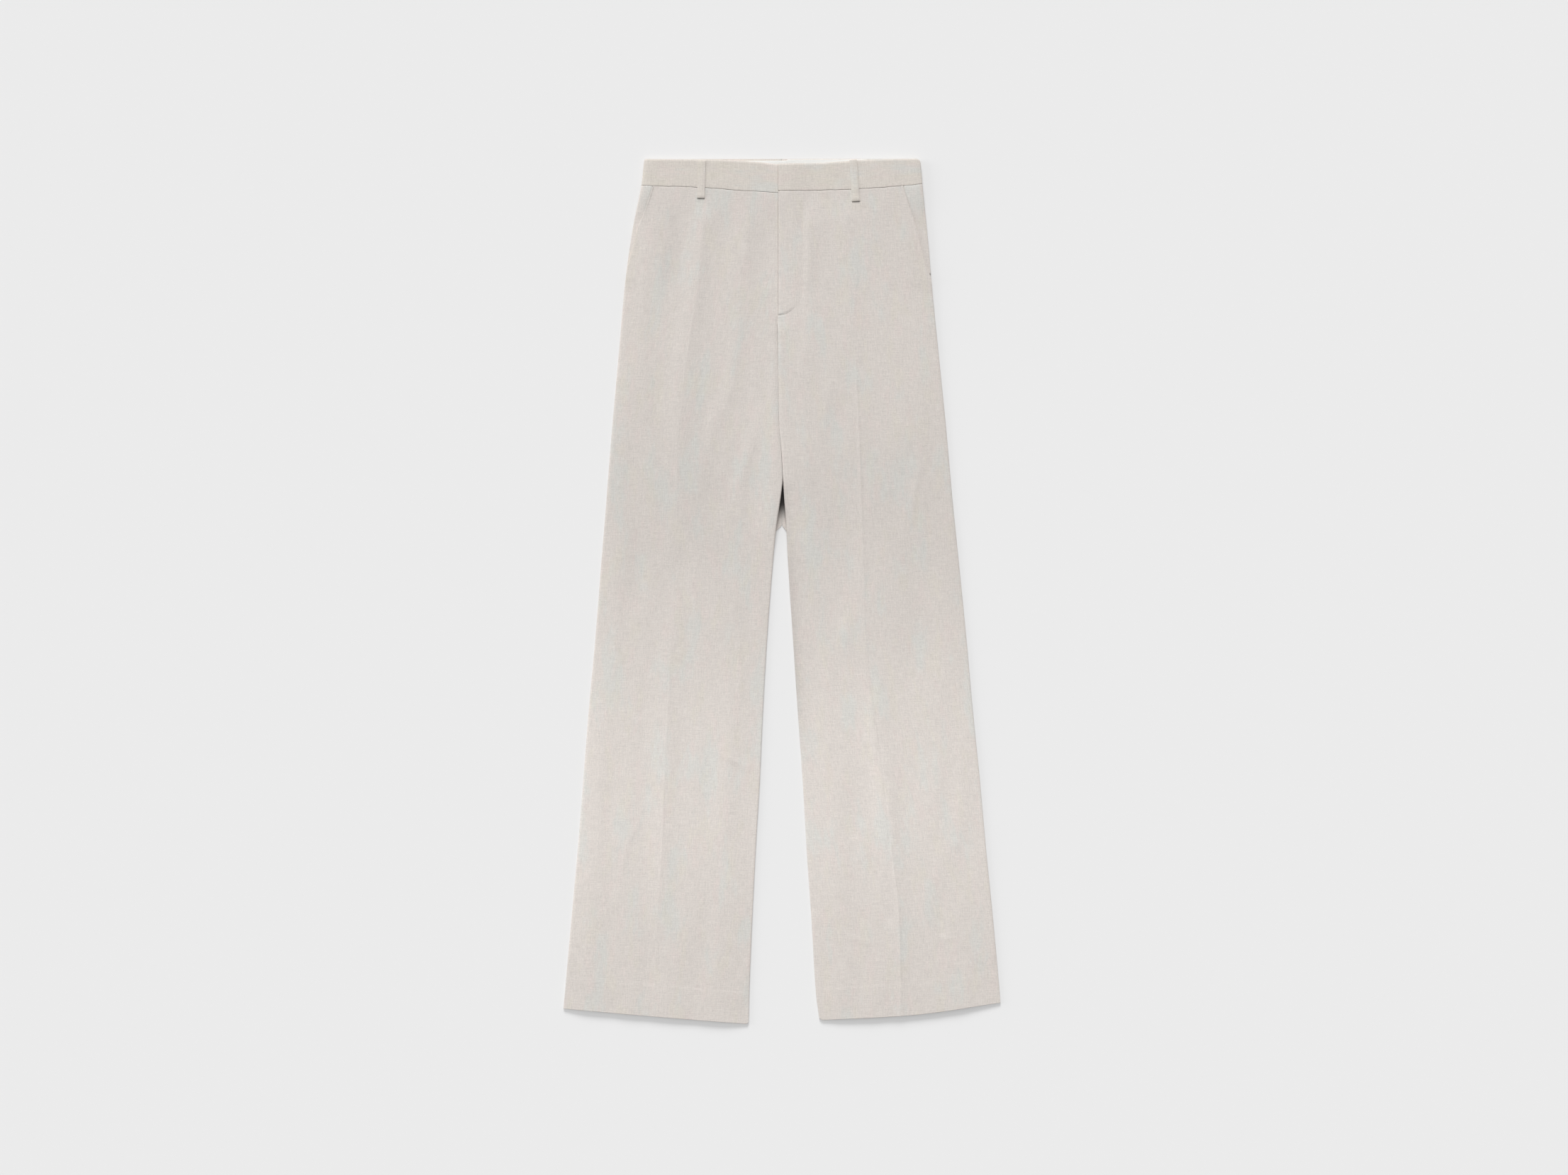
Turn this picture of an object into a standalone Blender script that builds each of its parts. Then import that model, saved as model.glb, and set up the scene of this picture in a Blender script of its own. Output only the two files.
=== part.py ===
"""Tailored wide-leg trousers, lying flat on a surface with the front up.

+X is the wearer's left, +Y runs up to the waist and +Z comes out of the front. The origin is on the
surface, under the middle of the garment. The two back panels lie on the surface, the front panels lie on
them, and each leg is a flat tube whose two edges are its side seam and its inseam. Right and left are the
wearer's. Sizes are in millimetres until a mesh is made.
"""

from collections import namedtuple

import bmesh
import bpy
import numpy as np

MM = 0.001

# Cloth
WALL = 1.2            # a panel
BAND_BACK_WALL = 1.6  # the waistband is double cloth
BAND_FRONT_WALL = 1.8
LINING_WALL = 1.0
LOOP_WALL = 1.0
GAP = 0.3             # between two pieces that are sewn or lie together

# Heights off the surface
AIR = 1.8             # how far the front panel's middle stands off its edges
BAND_LIFT = 1.4       # the back waistband rests on the back belt loops
SHOULDER = 11.0       # how far in from a leg's edge the cloth reaches its full height
BAND_AIR = 1.3
BAND_SHOULDER = 8.0
SLOPE_FROM, SLOPE_TO = 420.0, 496.0  # the panels slope up to the waistband between these heights

# Front opening: the left front laps over the right
FLY_END = 352.0
FLY_WIDTH = 31.0
FLY_LIFT = 1.9
FLY_DROP = 0.4
FLY_UNDERLAP = 6.0
CENTRE_FRONT = -4.6

# Levels down the garment
CROTCH = 208.0        # the front crotch point
PARTING = 142.0       # below this the two legs part
BACK_PARTING = 112.0  # the back panels part lower down
POCKET_END = 402.0

# Pressed crease of each front
CREASE_HEIGHT = 0.9
CREASE_WIDTH = 5.0
CREASE_FROM, CREASE_TO = 455.0, 500.0

# Side pockets
POCKET_UNDERLAP = 12.0
POCKET_STEP = 1.9     # the front's edge stands this far above the side piece

# Waistband
BAND_ROWS = ((0.0, -0.1), (0.05, 0.0), (0.5, 0.0), (0.9, 0.0), (0.97, -0.05), (1.0, -0.2))
BAND_UNDERLAP = 8.0
BAND_LAP = 2.6        # the lapped end clears the end beneath by this much, wall to wall
BAND_LAP_FLAT, BAND_LAP_END = 10.0, 42.0
CORNER = {"right": 2.5, "left": 5.5}  # radii of the waistband's outer top corners
BACK_TOP = {"right": 551.9, "left": 552.2}
LINING_HALF_WIDTH, LINING_DEPTH = 150.0, 30.0
LINING_SEAM = 6.7
LINING_BELOW_TOP = {"right": 2.3, "left": 1.0}

# Belt loops: a strip with its ends turned under
LOOP_TURN = 9.0
LOOP_FOLD = 0.65      # radius of a turned end, at the middle of the wall
Loop = namedtuple("Loop", "name x_low y_low x_high y_high width")
FRONT_LOOPS = (
    Loop("belt_loop_front_right", -103.3, 501.8, -101.8, 550.2, 9.6),
    Loop("belt_loop_front_left", 94.3, 497.8, 90.7, 550.6, 9.8),
)
BACK_LOOPS = (
    Loop("belt_loop_back_right", -108.0, 499.0, -106.0, 550.6, 10.0),
    Loop("belt_loop_back_centre", 0.0, 499.0, 0.0, 550.6, 10.0),
    Loop("belt_loop_back_left", 108.0, 499.0, 106.0, 550.6, 10.0),
)

# Outline, one row a level: where each leg's outer edge, crease and inner edge lie
Section = namedtuple(
    "Section", "y outer_right crease_right inner_right inner_left crease_left outer_left"
)
SECTIONS = (
    Section(552.2, -175.6, -96.0, -4.4, -4.4, 82.0, 176.5),
    Section(520.0, -179.0, -96.0, -4.4, -4.4, 82.0, 179.2),
    Section(484.0, -186.4, -98.6, -4.8, -4.8, 83.3, 182.8),
    Section(448.0, -192.8, -102.2, -5.6, -5.6, 85.0, 186.4),
    Section(394.0, -200.0, -106.8, -5.8, -5.8, 88.0, 191.0),
    Section(303.0, -208.2, -120.6, -5.4, -5.0, 93.6, 200.0),
    Section(213.0, -216.3, -131.0, -3.9, -3.5, 97.9, 209.1),
    Section(177.0, -219.3, -133.4, -0.8, -0.4, 99.2, 212.3),
    Section(142.0, -222.0, -134.0, 0.8, 1.3, 100.5, 215.4),
    Section(122.0, -223.5, -134.3, -1.8, 2.6, 101.2, 217.2),
    Section(87.0, -226.3, -135.2, -8.0, 6.1, 102.5, 220.7),
    Section(42.0, -230.0, -136.4, -12.6, 9.6, 104.2, 225.3),
    Section(-59.0, -238.0, -140.5, -19.3, 15.9, 107.2, 235.3),
    Section(-149.0, -246.2, -145.3, -24.0, 21.2, 118.1, 243.4),
    Section(-240.0, -253.4, -149.8, -28.2, 26.5, 129.4, 252.5),
    Section(-330.0, -260.6, -153.2, -33.5, 31.7, 139.8, 260.6),
    Section(-421.0, -268.8, -158.6, -38.0, 38.0, 149.6, 269.7),
    Section(-511.0, -276.9, -162.5, -41.6, 43.4, 151.6, 277.8),
    Section(-552.0, -280.6, -164.5, -42.6, 49.0, 151.2, 280.9),
)

# Waist seam and the front waistband's top edge
Waist = namedtuple("Waist", "x seam top")
WAIST = {
    "right": (
        Waist(-180.0, 518.0, 551.9),
        Waist(-102.0, 515.2, 551.2),
        Waist(-57.0, 511.9, 550.0),
        Waist(-29.0, 510.2, 547.9),
        Waist(-5.0, 508.9, 545.2),
        Waist(4.0, 511.6, 545.0),
    ),
    "left": (
        Waist(-5.0, 511.1, 545.6),
        Waist(52.0, 511.9, 547.1),
        Waist(92.0, 513.2, 549.8),
        Waist(125.0, 515.3, 551.5),
        Waist(153.0, 517.4, 552.0),
        Waist(180.0, 520.2, 552.2),
    ),
}

# Hem of each leg
Hem = namedtuple("Hem", "x y")
HEM = {
    "right": (Hem(-279.0, -532.4), Hem(-152.0, -543.4), Hem(-42.0, -552.2)),
    "left": (Hem(49.0, -547.2), Hem(162.0, -541.0), Hem(279.0, -524.9)),
}

# Mouth of each side pocket, from the waist seam to the side seam
Mouth = namedtuple("Mouth", "y right left")
POCKET_MOUTH = (
    Mouth(521.0, -162.8, 153.0),
    Mouth(502.0, -168.9, 158.8),
    Mouth(483.5, -175.2, 165.0),
    Mouth(464.0, -183.6, 171.6),
    Mouth(438.5, -190.2, 178.0),
    Mouth(410.0, -197.4, 185.6),
    Mouth(POCKET_END, -199.0, 190.2),
)

# Largest folds of the fronts, each a straight ridge or trough between two ends
Fold = namedtuple("Fold", "x0 y0 x1 y1 half_width height")
FOLDS = (
    Fold(-48.0, 470.0, -52.0, 385.0, 16.0, 0.5),
    Fold(-54.0, 360.0, -95.0, 163.0, 17.0, 0.6),
    Fold(-36.0, 231.0, -50.0, 77.0, 12.0, 0.5),
    Fold(-150.0, 400.0, -183.0, 250.0, 20.0, -0.5),
    Fold(-163.0, 190.0, -102.0, 110.0, 18.0, -0.4),
    Fold(-112.0, -10.0, -88.0, -131.0, 16.0, 0.5),
    Fold(-48.0, -54.0, -44.0, -222.0, 14.0, -0.4),
    Fold(-75.0, -267.0, -107.0, -340.0, 15.0, 0.5),
    Fold(-188.0, -321.0, -211.0, -403.0, 18.0, 0.6),
    Fold(79.0, 30.0, 80.0, -109.0, 16.0, 0.6),
    Fold(128.0, 150.0, 138.0, -86.0, 20.0, -0.5),
    Fold(112.0, -131.0, 118.0, -312.0, 13.0, 0.5),
    Fold(228.0, -177.0, 224.0, -349.0, 16.0, 0.6),
    Fold(183.0, -330.0, 190.0, -420.0, 20.0, -0.5),
)

# How a panel's grid is spaced: levels down its length with the number of rows to the next, and the
# divisions between the lines across it
FRONT_LEVELS = (
    (520.0, 6), (POCKET_END, 3), (FLY_END, 6), (CROTCH, 4), (PARTING, 4), (60.0, 18), (-552.0, 0)
)
BACK_LEVELS = ((520.0, 4), (420.0, 4), (CROTCH, 2), (BACK_PARTING, 3), (42.0, 7), (-552.0, 0))
SHOULDER_STEPS = (0.0, 1.5, 5.0, SHOULDER)
FRONT_DIVISIONS = (1, 1, 1, 4, 1, 1, 4, 1, 1, 1)
BACK_DIVISIONS = (3, 3)
WAIST_BLEND, HEM_BLEND = 440.0, -450.0

LINEN = (0.672, 0.610, 0.546)
SHADED_LINEN = (0.610, 0.552, 0.490)
LINING_WHITE = (0.890, 0.880, 0.850)


def curve(at, knots, values):
    """A smooth line through a table's column that never swings past its rows."""
    order = np.argsort(knots)
    knots, values = np.array(knots, float)[order], np.array(values, float)[order]
    at = np.clip(at, knots[0], knots[-1])
    run = np.diff(knots)
    slope = np.diff(values) / run
    tangent = np.concatenate([slope[:1], np.zeros(len(knots) - 2), slope[-1:]])
    same = slope[:-1] * slope[1:] > 0
    tangent[1:-1][same] = (2 * slope[:-1] * slope[1:])[same] / (slope[:-1] + slope[1:])[same]
    i = np.clip(np.searchsorted(knots, at) - 1, 0, len(run) - 1)
    t = (at - knots[i]) / run[i]
    ends = (1 - t) ** 2 * (1 + 2 * t) * values[i] + t**2 * (3 - 2 * t) * values[i + 1]
    return ends + t * (1 - t) * run[i] * ((1 - t) * tangent[i] - t * tangent[i + 1])


def ramp(value, start, end):
    """0 at start, 1 at end, with soft ends."""
    t = np.clip((value - start) / (end - start), 0.0, 1.0)
    return t * t * (3 - 2 * t)


def column(table, name, at, key):
    return curve(at, [getattr(row, key) for row in table], [getattr(row, name) for row in table])


def line(name, leg, y):
    """Where a leg's outer edge, crease or inner edge lies at this level."""
    return column(SECTIONS, f"{name}_{leg}", y, "y")


def waist_seam(leg, x):
    return column(WAIST[leg], "seam", x, "x")


def back_lift(y):
    return BAND_LIFT * ramp(y, SLOPE_FROM, SLOPE_TO)


def edge_top(y):
    """Height of a front panel's upper face where it lies on the back panel at a leg's edge."""
    return back_lift(y) + WALL + GAP + WALL


def shoulder(distance, reach):
    """0 at an edge, rising in a quarter round to 1 at its reach."""
    return np.sqrt(1 - (1 - np.clip(distance / reach, 0.0, 1.0)) ** 2)


def folds(x, y):
    height = np.zeros_like(x)
    for fold in FOLDS:
        along = np.array([fold.x1 - fold.x0, fold.y1 - fold.y0])
        length = np.hypot(*along)
        along /= length
        run = np.clip((x - fold.x0) * along[0] + (y - fold.y0) * along[1], 0.0, length)
        away = np.hypot(x - fold.x0 - run * along[0], y - fold.y0 - run * along[1])
        height += fold.height * np.exp(-((away / fold.half_width) ** 2))
    return height


def front_top(leg, x, y):
    """Height of a front panel's upper face."""
    outer, crease, inner = (line(name, leg, y) for name in ("outer", "crease", "inner"))
    from_side, from_inseam = abs(x - outer), abs(x - inner)
    round_inside = 1 - (1 - shoulder(from_inseam, SHOULDER)) * ramp(y, CROTCH + 12, CROTCH - 20)
    full = shoulder(from_side, SHOULDER) * round_inside
    seam_valley = 0.6 * np.exp(-((from_inseam / 3.0) ** 2)) * (y < FLY_END) * ramp(y, CROTCH, CROTCH + 20)
    height = edge_top(y) + (AIR + folds(x, y) * (y < SLOPE_TO)) * full - seam_valley
    pressed = ramp(y, CREASE_TO, CREASE_FROM)
    height += CREASE_HEIGHT * pressed * np.exp(-abs(x - crease) / CREASE_WIDTH) * full
    fly = ramp(y, FLY_END - 45, FLY_END - 15)
    if leg == "left":
        height += FLY_LIFT * fly * ramp(from_inseam, FLY_WIDTH + 10, FLY_UNDERLAP + 3)
    else:
        height -= FLY_DROP * fly * ramp(x, CENTRE_FRONT - 25, CENTRE_FRONT)
    mouth = column(POCKET_MOUTH, leg, y, "y")
    near_mouth = ramp(abs(x - mouth), 40.0, POCKET_UNDERLAP + 3) * ramp(y, POCKET_END - 25, POCKET_END)
    on_facing = edge_top(y) + POCKET_STEP
    return height + np.maximum(on_facing - height, 0.0) * near_mouth


def band_top(leg, x, y):
    """Height of the front waistband's upper face."""
    full = shoulder(abs(x - line("outer", leg, y)), BAND_SHOULDER)
    height = BAND_LIFT + BAND_BACK_WALL + GAP + BAND_FRONT_WALL + BAND_AIR * full
    if leg == "left":
        height += BAND_LAP * ramp(x - CENTRE_FRONT, BAND_LAP_END, BAND_LAP_FLAT)
    return height


def spaced(stops, divisions):
    """The stops with each gap between them divided evenly."""
    position = [i + k / n for i, n in enumerate(divisions) for k in range(n)] + [len(divisions)]
    table = np.array(np.broadcast_arrays(*stops))
    low = np.minimum(np.array(position).astype(int), len(stops) - 2)
    part = (np.array(position) - low)[:, None]
    return table[low] * (1 - part) + table[low + 1] * part


def levels(table):
    """Levels of a panel's rows, from the hem up."""
    rows = [
        level
        for (top, count), (below, _) in zip(table, table[1:])
        for level in np.linspace(top, below, count, endpoint=False)
    ]
    return np.array(rows + [table[-1][0]])[::-1]


def panel_levels(leg, x, nominal):
    """Level of each point: straight rows, bent near the waist seam and the hem to follow them."""
    to_seam = waist_seam(leg, np.minimum(x, CENTRE_FRONT) if leg == "right" else x) - GAP / 2 - 520.0
    to_hem = column(HEM[leg], "y", x, "x") + 552.0
    at_waist = np.clip((nominal - WAIST_BLEND) / (520.0 - WAIST_BLEND), 0.0, 1.0)
    at_hem = np.clip((HEM_BLEND - nominal) / (HEM_BLEND + 552.0), 0.0, 1.0)
    return nominal + to_seam * at_waist + to_hem * at_hem


def front_edges(leg, y):
    """Outer edge, crease and inner edge of a front panel's cut."""
    outer, crease, inner = (line(name, leg, y) for name in ("outer", "crease", "inner"))
    outer = np.where(y > POCKET_END, column(POCKET_MOUTH, leg, y, "y"), outer)
    lapped = ramp(y, FLY_END - 12, FLY_END + 8)
    if leg == "right":
        inner = inner - GAP / 2 * (y > CROTCH) + (FLY_UNDERLAP + GAP / 2) * lapped
    else:
        inner = inner + GAP / 2 * (y > CROTCH) * (1 - lapped)
    return outer, crease, inner


def front_place(leg, u, v):
    """Points of a front panel: u runs to the wearer's left, v up from the hem."""
    nominal = np.interp(v, np.linspace(0, 1, len(levels(FRONT_LEVELS))), levels(FRONT_LEVELS))
    inward = 1 if leg == "right" else -1
    y = nominal
    for _ in range(4):
        outer, crease, inner = front_edges(leg, y)
        stops = [outer + inward * step for step in SHOULDER_STEPS]
        stops += [crease - inward * CREASE_WIDTH, crease, crease + inward * CREASE_WIDTH]
        stops += [inner - inward * step for step in reversed(SHOULDER_STEPS)]
        x = pick(spaced(stops[::inward], FRONT_DIVISIONS), u)
        y = panel_levels(leg, x, nominal)
    return x, y, front_top(leg, x, y)


def back_place(leg, u, v):
    """Points of a back panel's underside, which lies on the surface."""
    nominal = np.interp(v, np.linspace(0, 1, len(levels(BACK_LEVELS))), levels(BACK_LEVELS))
    side = -1 if leg == "right" else 1
    y = nominal
    for _ in range(4):
        meeting = side * GAP / 2
        inner = np.where(y > BACK_PARTING, meeting, line("inner", leg, y))
        inner = np.where(side * inner < GAP / 2, meeting, inner)
        stops = [line("outer", leg, y), line("crease", leg, y), inner]
        x = pick(spaced(stops[::-side], BACK_DIVISIONS), u)
        y = panel_levels(leg, x, nominal)
    return x, y, back_lift(y)


def pick(columns, u):
    """From each point's own row of columns, the one that u names."""
    index = np.rint(u * (len(columns) - 1)).astype(int)
    return np.take_along_axis(columns, index[None], axis=0)[0]


def facing_place(leg, u, v):
    """Points of a pocket's side piece: u runs to the wearer's left, v up from the mouth's lower end."""
    nominal = POCKET_END + 8 + v * (520.0 - POCKET_END - 8)
    inward = 1 if leg == "right" else -1
    y = nominal
    for _ in range(4):
        under = 3.0 + (POCKET_UNDERLAP - 3.0) * ramp(y, POCKET_END + 8, POCKET_END + 45)
        stops = [line("outer", leg, y), column(POCKET_MOUTH, leg, y, "y") + inward * under]
        x = pick(spaced(stops[::inward], (4,)), u)
        y = panel_levels(leg, x, nominal)
    return x, y, edge_top(y)


def corner_drop(leg, x, y):
    """How far the waistband's top edge comes down at its rounded outer corner."""
    radius = CORNER[leg]
    inside = np.clip(radius - abs(x - line("outer", leg, y)), 0.0, radius)
    return radius - np.sqrt(radius**2 - inside**2)


def band_front_place(leg, u, v):
    share, dip = (np.interp(v, np.linspace(0, 1, len(BAND_ROWS)), values) for values in zip(*BAND_ROWS))
    inward = 1 if leg == "right" else -1
    middle = CENTRE_FRONT + (BAND_UNDERLAP if leg == "right" else 0.0)
    y = 515.0 + 35.0 * share
    for _ in range(3):
        outer = line("outer", leg, y)
        stops = [outer + inward * step for step in (0.0, 1.5, 4.0, BAND_SHOULDER)]
        stops += [middle - inward * 12, middle]
        x = pick(spaced(stops[::inward], (1, 1, 1, 6, 2)[::inward]), u)
        low = waist_seam(leg, x) + GAP / 2
        high = column(WAIST[leg], "top", x, "x") - corner_drop(leg, x, y)
        y = low + (high - low) * share
    return x, y, band_top(leg, x, y) + dip


def band_back_place(leg, u, v):
    side = -1 if leg == "right" else 1
    y = 518.0 + 34.0 * v
    for _ in range(3):
        outer = line("outer", leg, y)
        stops = [outer, outer - side * 5.0, side * (LINING_SEAM / 2), side * GAP / 2]
        x = pick(spaced(stops[::-side], (2, 4, 1)[::-side]), u)
        low = waist_seam(leg, x) + GAP / 2
        low = np.where(abs(x) < 60, np.maximum(low, waist_seam("left", x) + GAP / 2), low)
        high = np.interp(x, (-176, 176), (BACK_TOP["right"], BACK_TOP["left"])) - corner_drop(leg, x, y)
        y = low + (high - low) * v
    return x, y, np.full_like(x, BAND_LIFT)


def lining_place(u, v):
    x = LINING_HALF_WIDTH * (2 * u - 1)
    below = np.where(x < LINING_SEAM, LINING_BELOW_TOP["right"], LINING_BELOW_TOP["left"])
    high = np.interp(x, (-176, 176), (BACK_TOP["right"], BACK_TOP["left"])) - below
    y = high - LINING_DEPTH * (1 - v)
    return x, y, np.full_like(x, BAND_LIFT + BAND_BACK_WALL + GAP)


def loop_path(low, high):
    """Level and height over the cloth along a front loop: a turned end, the strip, a turned end."""
    turn = np.linspace(-np.pi / 2, np.pi / 2, 5)
    rest = GAP + LOOP_WALL / 2
    round_y, round_z = LOOP_FOLD * np.cos(turn), rest + LOOP_FOLD * (1 + np.sin(turn))
    ends = LOOP_FOLD + LOOP_WALL / 2
    y = [low + LOOP_TURN, *(low + ends - round_y), *np.linspace(low + 6, high - 6, 4)]
    y += [*(high - ends + round_y)[::-1], high - LOOP_TURN]
    z = [rest, *round_z, *[rest + 2 * LOOP_FOLD] * 4, *round_z[::-1], rest]
    return np.array(y), np.array(z)


def loop_place(loop, leg, u, v):
    path_y, path_z = loop_path(loop.y_low, loop.y_high)
    along = np.linspace(0, 1, len(path_y))
    y = np.interp(v, along, path_y)
    share = (y - loop.y_low) / (loop.y_high - loop.y_low)
    middle = loop.x_low + (loop.x_high - loop.x_low) * share
    seam = waist_seam(leg, middle)
    on_panel, on_band = front_top(leg, middle, y), band_top(leg, middle, y)
    cloth = on_panel + (on_band - on_panel) * ramp(y, seam - 6, seam - 1)
    return middle + loop.width * (0.5 - u), y, cloth + np.interp(v, along, path_z)


def back_loop_place(loop, u, v):
    y = loop.y_low + (loop.y_high - loop.y_low) * v
    x = loop.x_low + (loop.x_high - loop.x_low) * v + loop.width * (u - 0.5)
    return x, y, np.zeros_like(x)


def cloth_material(name, colour, roughness=0.9):
    material = bpy.data.materials.new(name)
    material.use_nodes = True
    shader = material.node_tree.nodes["Principled BSDF"]
    shader.inputs["Base Color"].default_value = (*colour, 1.0)
    shader.inputs["Roughness"].default_value = roughness
    shader.inputs["Metallic"].default_value = 0.0
    material.diffuse_color = (*colour, 1.0)
    return material


def cloth(name, columns, rows, place, wall, side, colour=LINEN):
    """A piece of cloth: a grid laid on place(u, v) and given its wall. side is -1 for a wall under the
    points, 1 for one over them and 0 for one about them."""
    mesh = bpy.data.meshes.new(name)
    grid = bmesh.new()
    bmesh.ops.create_grid(grid, x_segments=columns, y_segments=rows, size=0.5)
    flat = np.array([vert.co[:2] for vert in grid.verts]) + 0.5
    points = np.stack(place(flat[:, 0], flat[:, 1]), axis=1) * MM
    for vert, point in zip(grid.verts, points):
        vert.co = point
    grid.to_mesh(mesh)
    grid.free()
    mesh.shade_smooth()
    mesh.set_sharp_from_angle(angle=np.radians(40))
    piece = bpy.data.objects.new(name, mesh)
    piece.data.materials.append(cloth_material(f"{name} cloth", colour))
    solidify = piece.modifiers.new("wall", "SOLIDIFY")
    solidify.thickness = wall * MM
    solidify.offset = side
    solidify.use_even_offset = True
    collection.objects.link(piece)
    return piece


def build_leg(leg):
    cloth(
        f"front_{leg}", sum(FRONT_DIVISIONS), len(levels(FRONT_LEVELS)) - 1,
        lambda u, v: front_place(leg, u, v), WALL, -1,
    )
    cloth(
        f"back_{leg}", sum(BACK_DIVISIONS), len(levels(BACK_LEVELS)) - 1,
        lambda u, v: back_place(leg, u, v), WALL, 1, SHADED_LINEN,
    )
    cloth(f"pocket_facing_{leg}", 4, 7, lambda u, v: facing_place(leg, u, v), WALL, -1, SHADED_LINEN)


def build_waistband(leg):
    cloth(
        f"waistband_front_{leg}", 11, len(BAND_ROWS) - 1,
        lambda u, v: band_front_place(leg, u, v), BAND_FRONT_WALL, -1,
    )
    cloth(f"waistband_back_{leg}", 7, 3, lambda u, v: band_back_place(leg, u, v), BAND_BACK_WALL, 1)


for old in list(bpy.data.objects):
    bpy.data.objects.remove(old)
collection = bpy.data.collections.new("tailored trousers")
bpy.context.scene.collection.children.link(collection)

for leg in ("right", "left"):
    build_leg(leg)
    build_waistband(leg)
cloth("waistband_lining_back", 10, 2, lining_place, LINING_WALL, 1, LINING_WHITE)
for loop, leg in zip(FRONT_LOOPS, ("right", "left")):
    steps = len(loop_path(loop.y_low, loop.y_high)[0]) - 1
    cloth(loop.name, 2, steps, lambda u, v: loop_place(loop, leg, u, v), LOOP_WALL, 0)
for loop in BACK_LOOPS:
    cloth(loop.name, 2, 4, lambda u, v: back_loop_place(loop, u, v), LOOP_WALL, 1)
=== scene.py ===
# %% [markdown]
# # Tailored wide-leg trousers, laid flat
#
# A pair of light linen-blend trousers lies on a pale table with its front up, seen from straight above.
# The frame that is loaded first holds one plain solid for every cut piece. This lesson lays a finer shell
# of cloth over each of them, gives it a woven finish, sews the few stitches that show and lights it.
# Right and left are the wearer's, so the right leg is at -X. +Y runs up to the waist.

import math
from collections import namedtuple

import bpy
import numpy as np
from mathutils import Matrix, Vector


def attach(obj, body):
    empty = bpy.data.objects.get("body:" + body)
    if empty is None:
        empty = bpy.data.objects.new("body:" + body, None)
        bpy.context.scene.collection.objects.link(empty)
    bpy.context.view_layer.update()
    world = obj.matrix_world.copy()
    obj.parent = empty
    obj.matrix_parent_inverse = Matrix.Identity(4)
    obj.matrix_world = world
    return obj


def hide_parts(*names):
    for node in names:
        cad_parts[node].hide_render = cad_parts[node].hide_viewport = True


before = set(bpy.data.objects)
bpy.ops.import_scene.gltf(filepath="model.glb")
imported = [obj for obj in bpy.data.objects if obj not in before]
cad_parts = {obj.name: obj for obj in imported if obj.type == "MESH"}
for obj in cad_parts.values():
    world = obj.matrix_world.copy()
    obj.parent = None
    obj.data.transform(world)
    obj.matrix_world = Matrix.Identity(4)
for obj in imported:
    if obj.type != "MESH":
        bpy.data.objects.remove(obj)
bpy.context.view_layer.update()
bpy.context.scene.view_settings.view_transform = "Standard"

# %% [markdown]
# ## Measures
#
# A pattern cutter writes a garment down as a few levels and, at each level, how far its lines lie from
# the middle. The same can be done here: one row a level, and a smooth line through each column. The other
# ways, a traced outline or a sculpted mesh, would hide the sizes. Lengths are in millimetres.

# %% Sizes of the garment
MM = 0.001
LEGS = {"right": 1, "left": -1}   # the way from a leg's outer edge to its inner one

CLOTH = 0.8            # one layer of the linen
TURN_UP = 40.0         # depth of the hem that is turned up inside
HEM_EXTRA = 0.7        # the turned-up layer thickens the cloth there
FLY_EXTRA = 0.5        # so does the facing behind the fly
MOUTH_EXTRA = 0.3      # and the one behind a pocket mouth
BAND = 1.6             # the waistband is doubled and stiffened
BACK_BAND = 1.4
LINING = 0.6

SEAM_TOP = 2.1         # height of the front's upper face at the edge of a leg
PLATEAU = 4.5          # height of the front's upper face in the middle of a leg
ROUND = {              # how far in from the edge of a leg the cloth has turned nearly level
    "right": {"outer": 4.0, "inner": 2.5},
    "left": {"outer": 3.5, "inner": 8.0},
}
RISE_REACH = {"right": 26.0, "left": 60.0}   # and how far in it gets that high
HEM_CORNER = 3.5       # radius of a leg's lower corners
BAND_LIFT = 1.4        # the back waistband rests on the back belt loops
BAND_EDGE = 4.6        # height of the front waistband's upper face at the side
BAND_TOP = 6.1         # and in its middle
BAND_SHOULDER = 9.0    # how far in from its ends it has turned level
SLOPE_FROM, SLOPE_TO = 420.0, 496.0             # the backs slope up to the waistband between these levels
FRONT_LIFT_FROM, FRONT_LIFT_TO = 230.0, 505.0   # the fronts do it over a longer way
LEVEL_FROM, LEVEL_TO = 468.0, 510.0             # and come up level with the waistband here

SEAM = 0.09            # how far a cut edge stops short of its seam
CENTRE_FRONT = -4.6    # the left front's edge, where it laps over the right one
FLY_END = 352.0        # lower end of the fly
FLY_WIDTH = 30.8       # from the centre front to the fly stitching
FLY_LIFT, FLY_DROP = 1.4, 0.4   # the left front is raised by the fly under it, the right one pressed down
FLY_UNDERLAP = 6.0     # how far the right front reaches under the left one
CROTCH = 208.0         # the centre seam opens a little between here and the parting
PARTING = 142.0        # the legs part below this level
CROTCH_RISE = 4.4      # the cloth bunches up where the four panels meet
CROTCH_WALL = {"right": 120.0, "left": 300.0}   # the inseams stay steep for this far below it
BACK_PARTING = 84.0    # the back panels part lower down than the fronts
POCKET_END = 402.0     # lower end of the pocket mouths
POCKET_UNDERLAP = 12.0 # how far a pocket side piece reaches under the front
FACING_TOP = 3.0       # height of a pocket side piece
FACING_REACH = 26.0    # and how far in from the side seam it gets that high

BAND_UNDERLAP = 8.0    # how far the right half of the waistband reaches under the left one
BAND_LAP = 1.8         # the lapped end stands this much higher
BAND_LAP_FLAT, BAND_LAP_END = 12.0, 44.0        # up to here in full, and up to here fading
CORNER = {"right": 2.5, "left": 5.5}            # radii of the waistband's top corners
BACK_TOP = {"right": 551.9, "left": 552.2}      # level of the back waistband's top edge at the sides
LINING_HALF_WIDTH, LINING_DEPTH = 150.0, 30.0
CENTRE_BACK = 6.7      # where the lining's two ends are joined
LINING_BELOW_TOP = {"right": 2.3, "left": 1.0}  # how far the lining stops below the top edge

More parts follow.
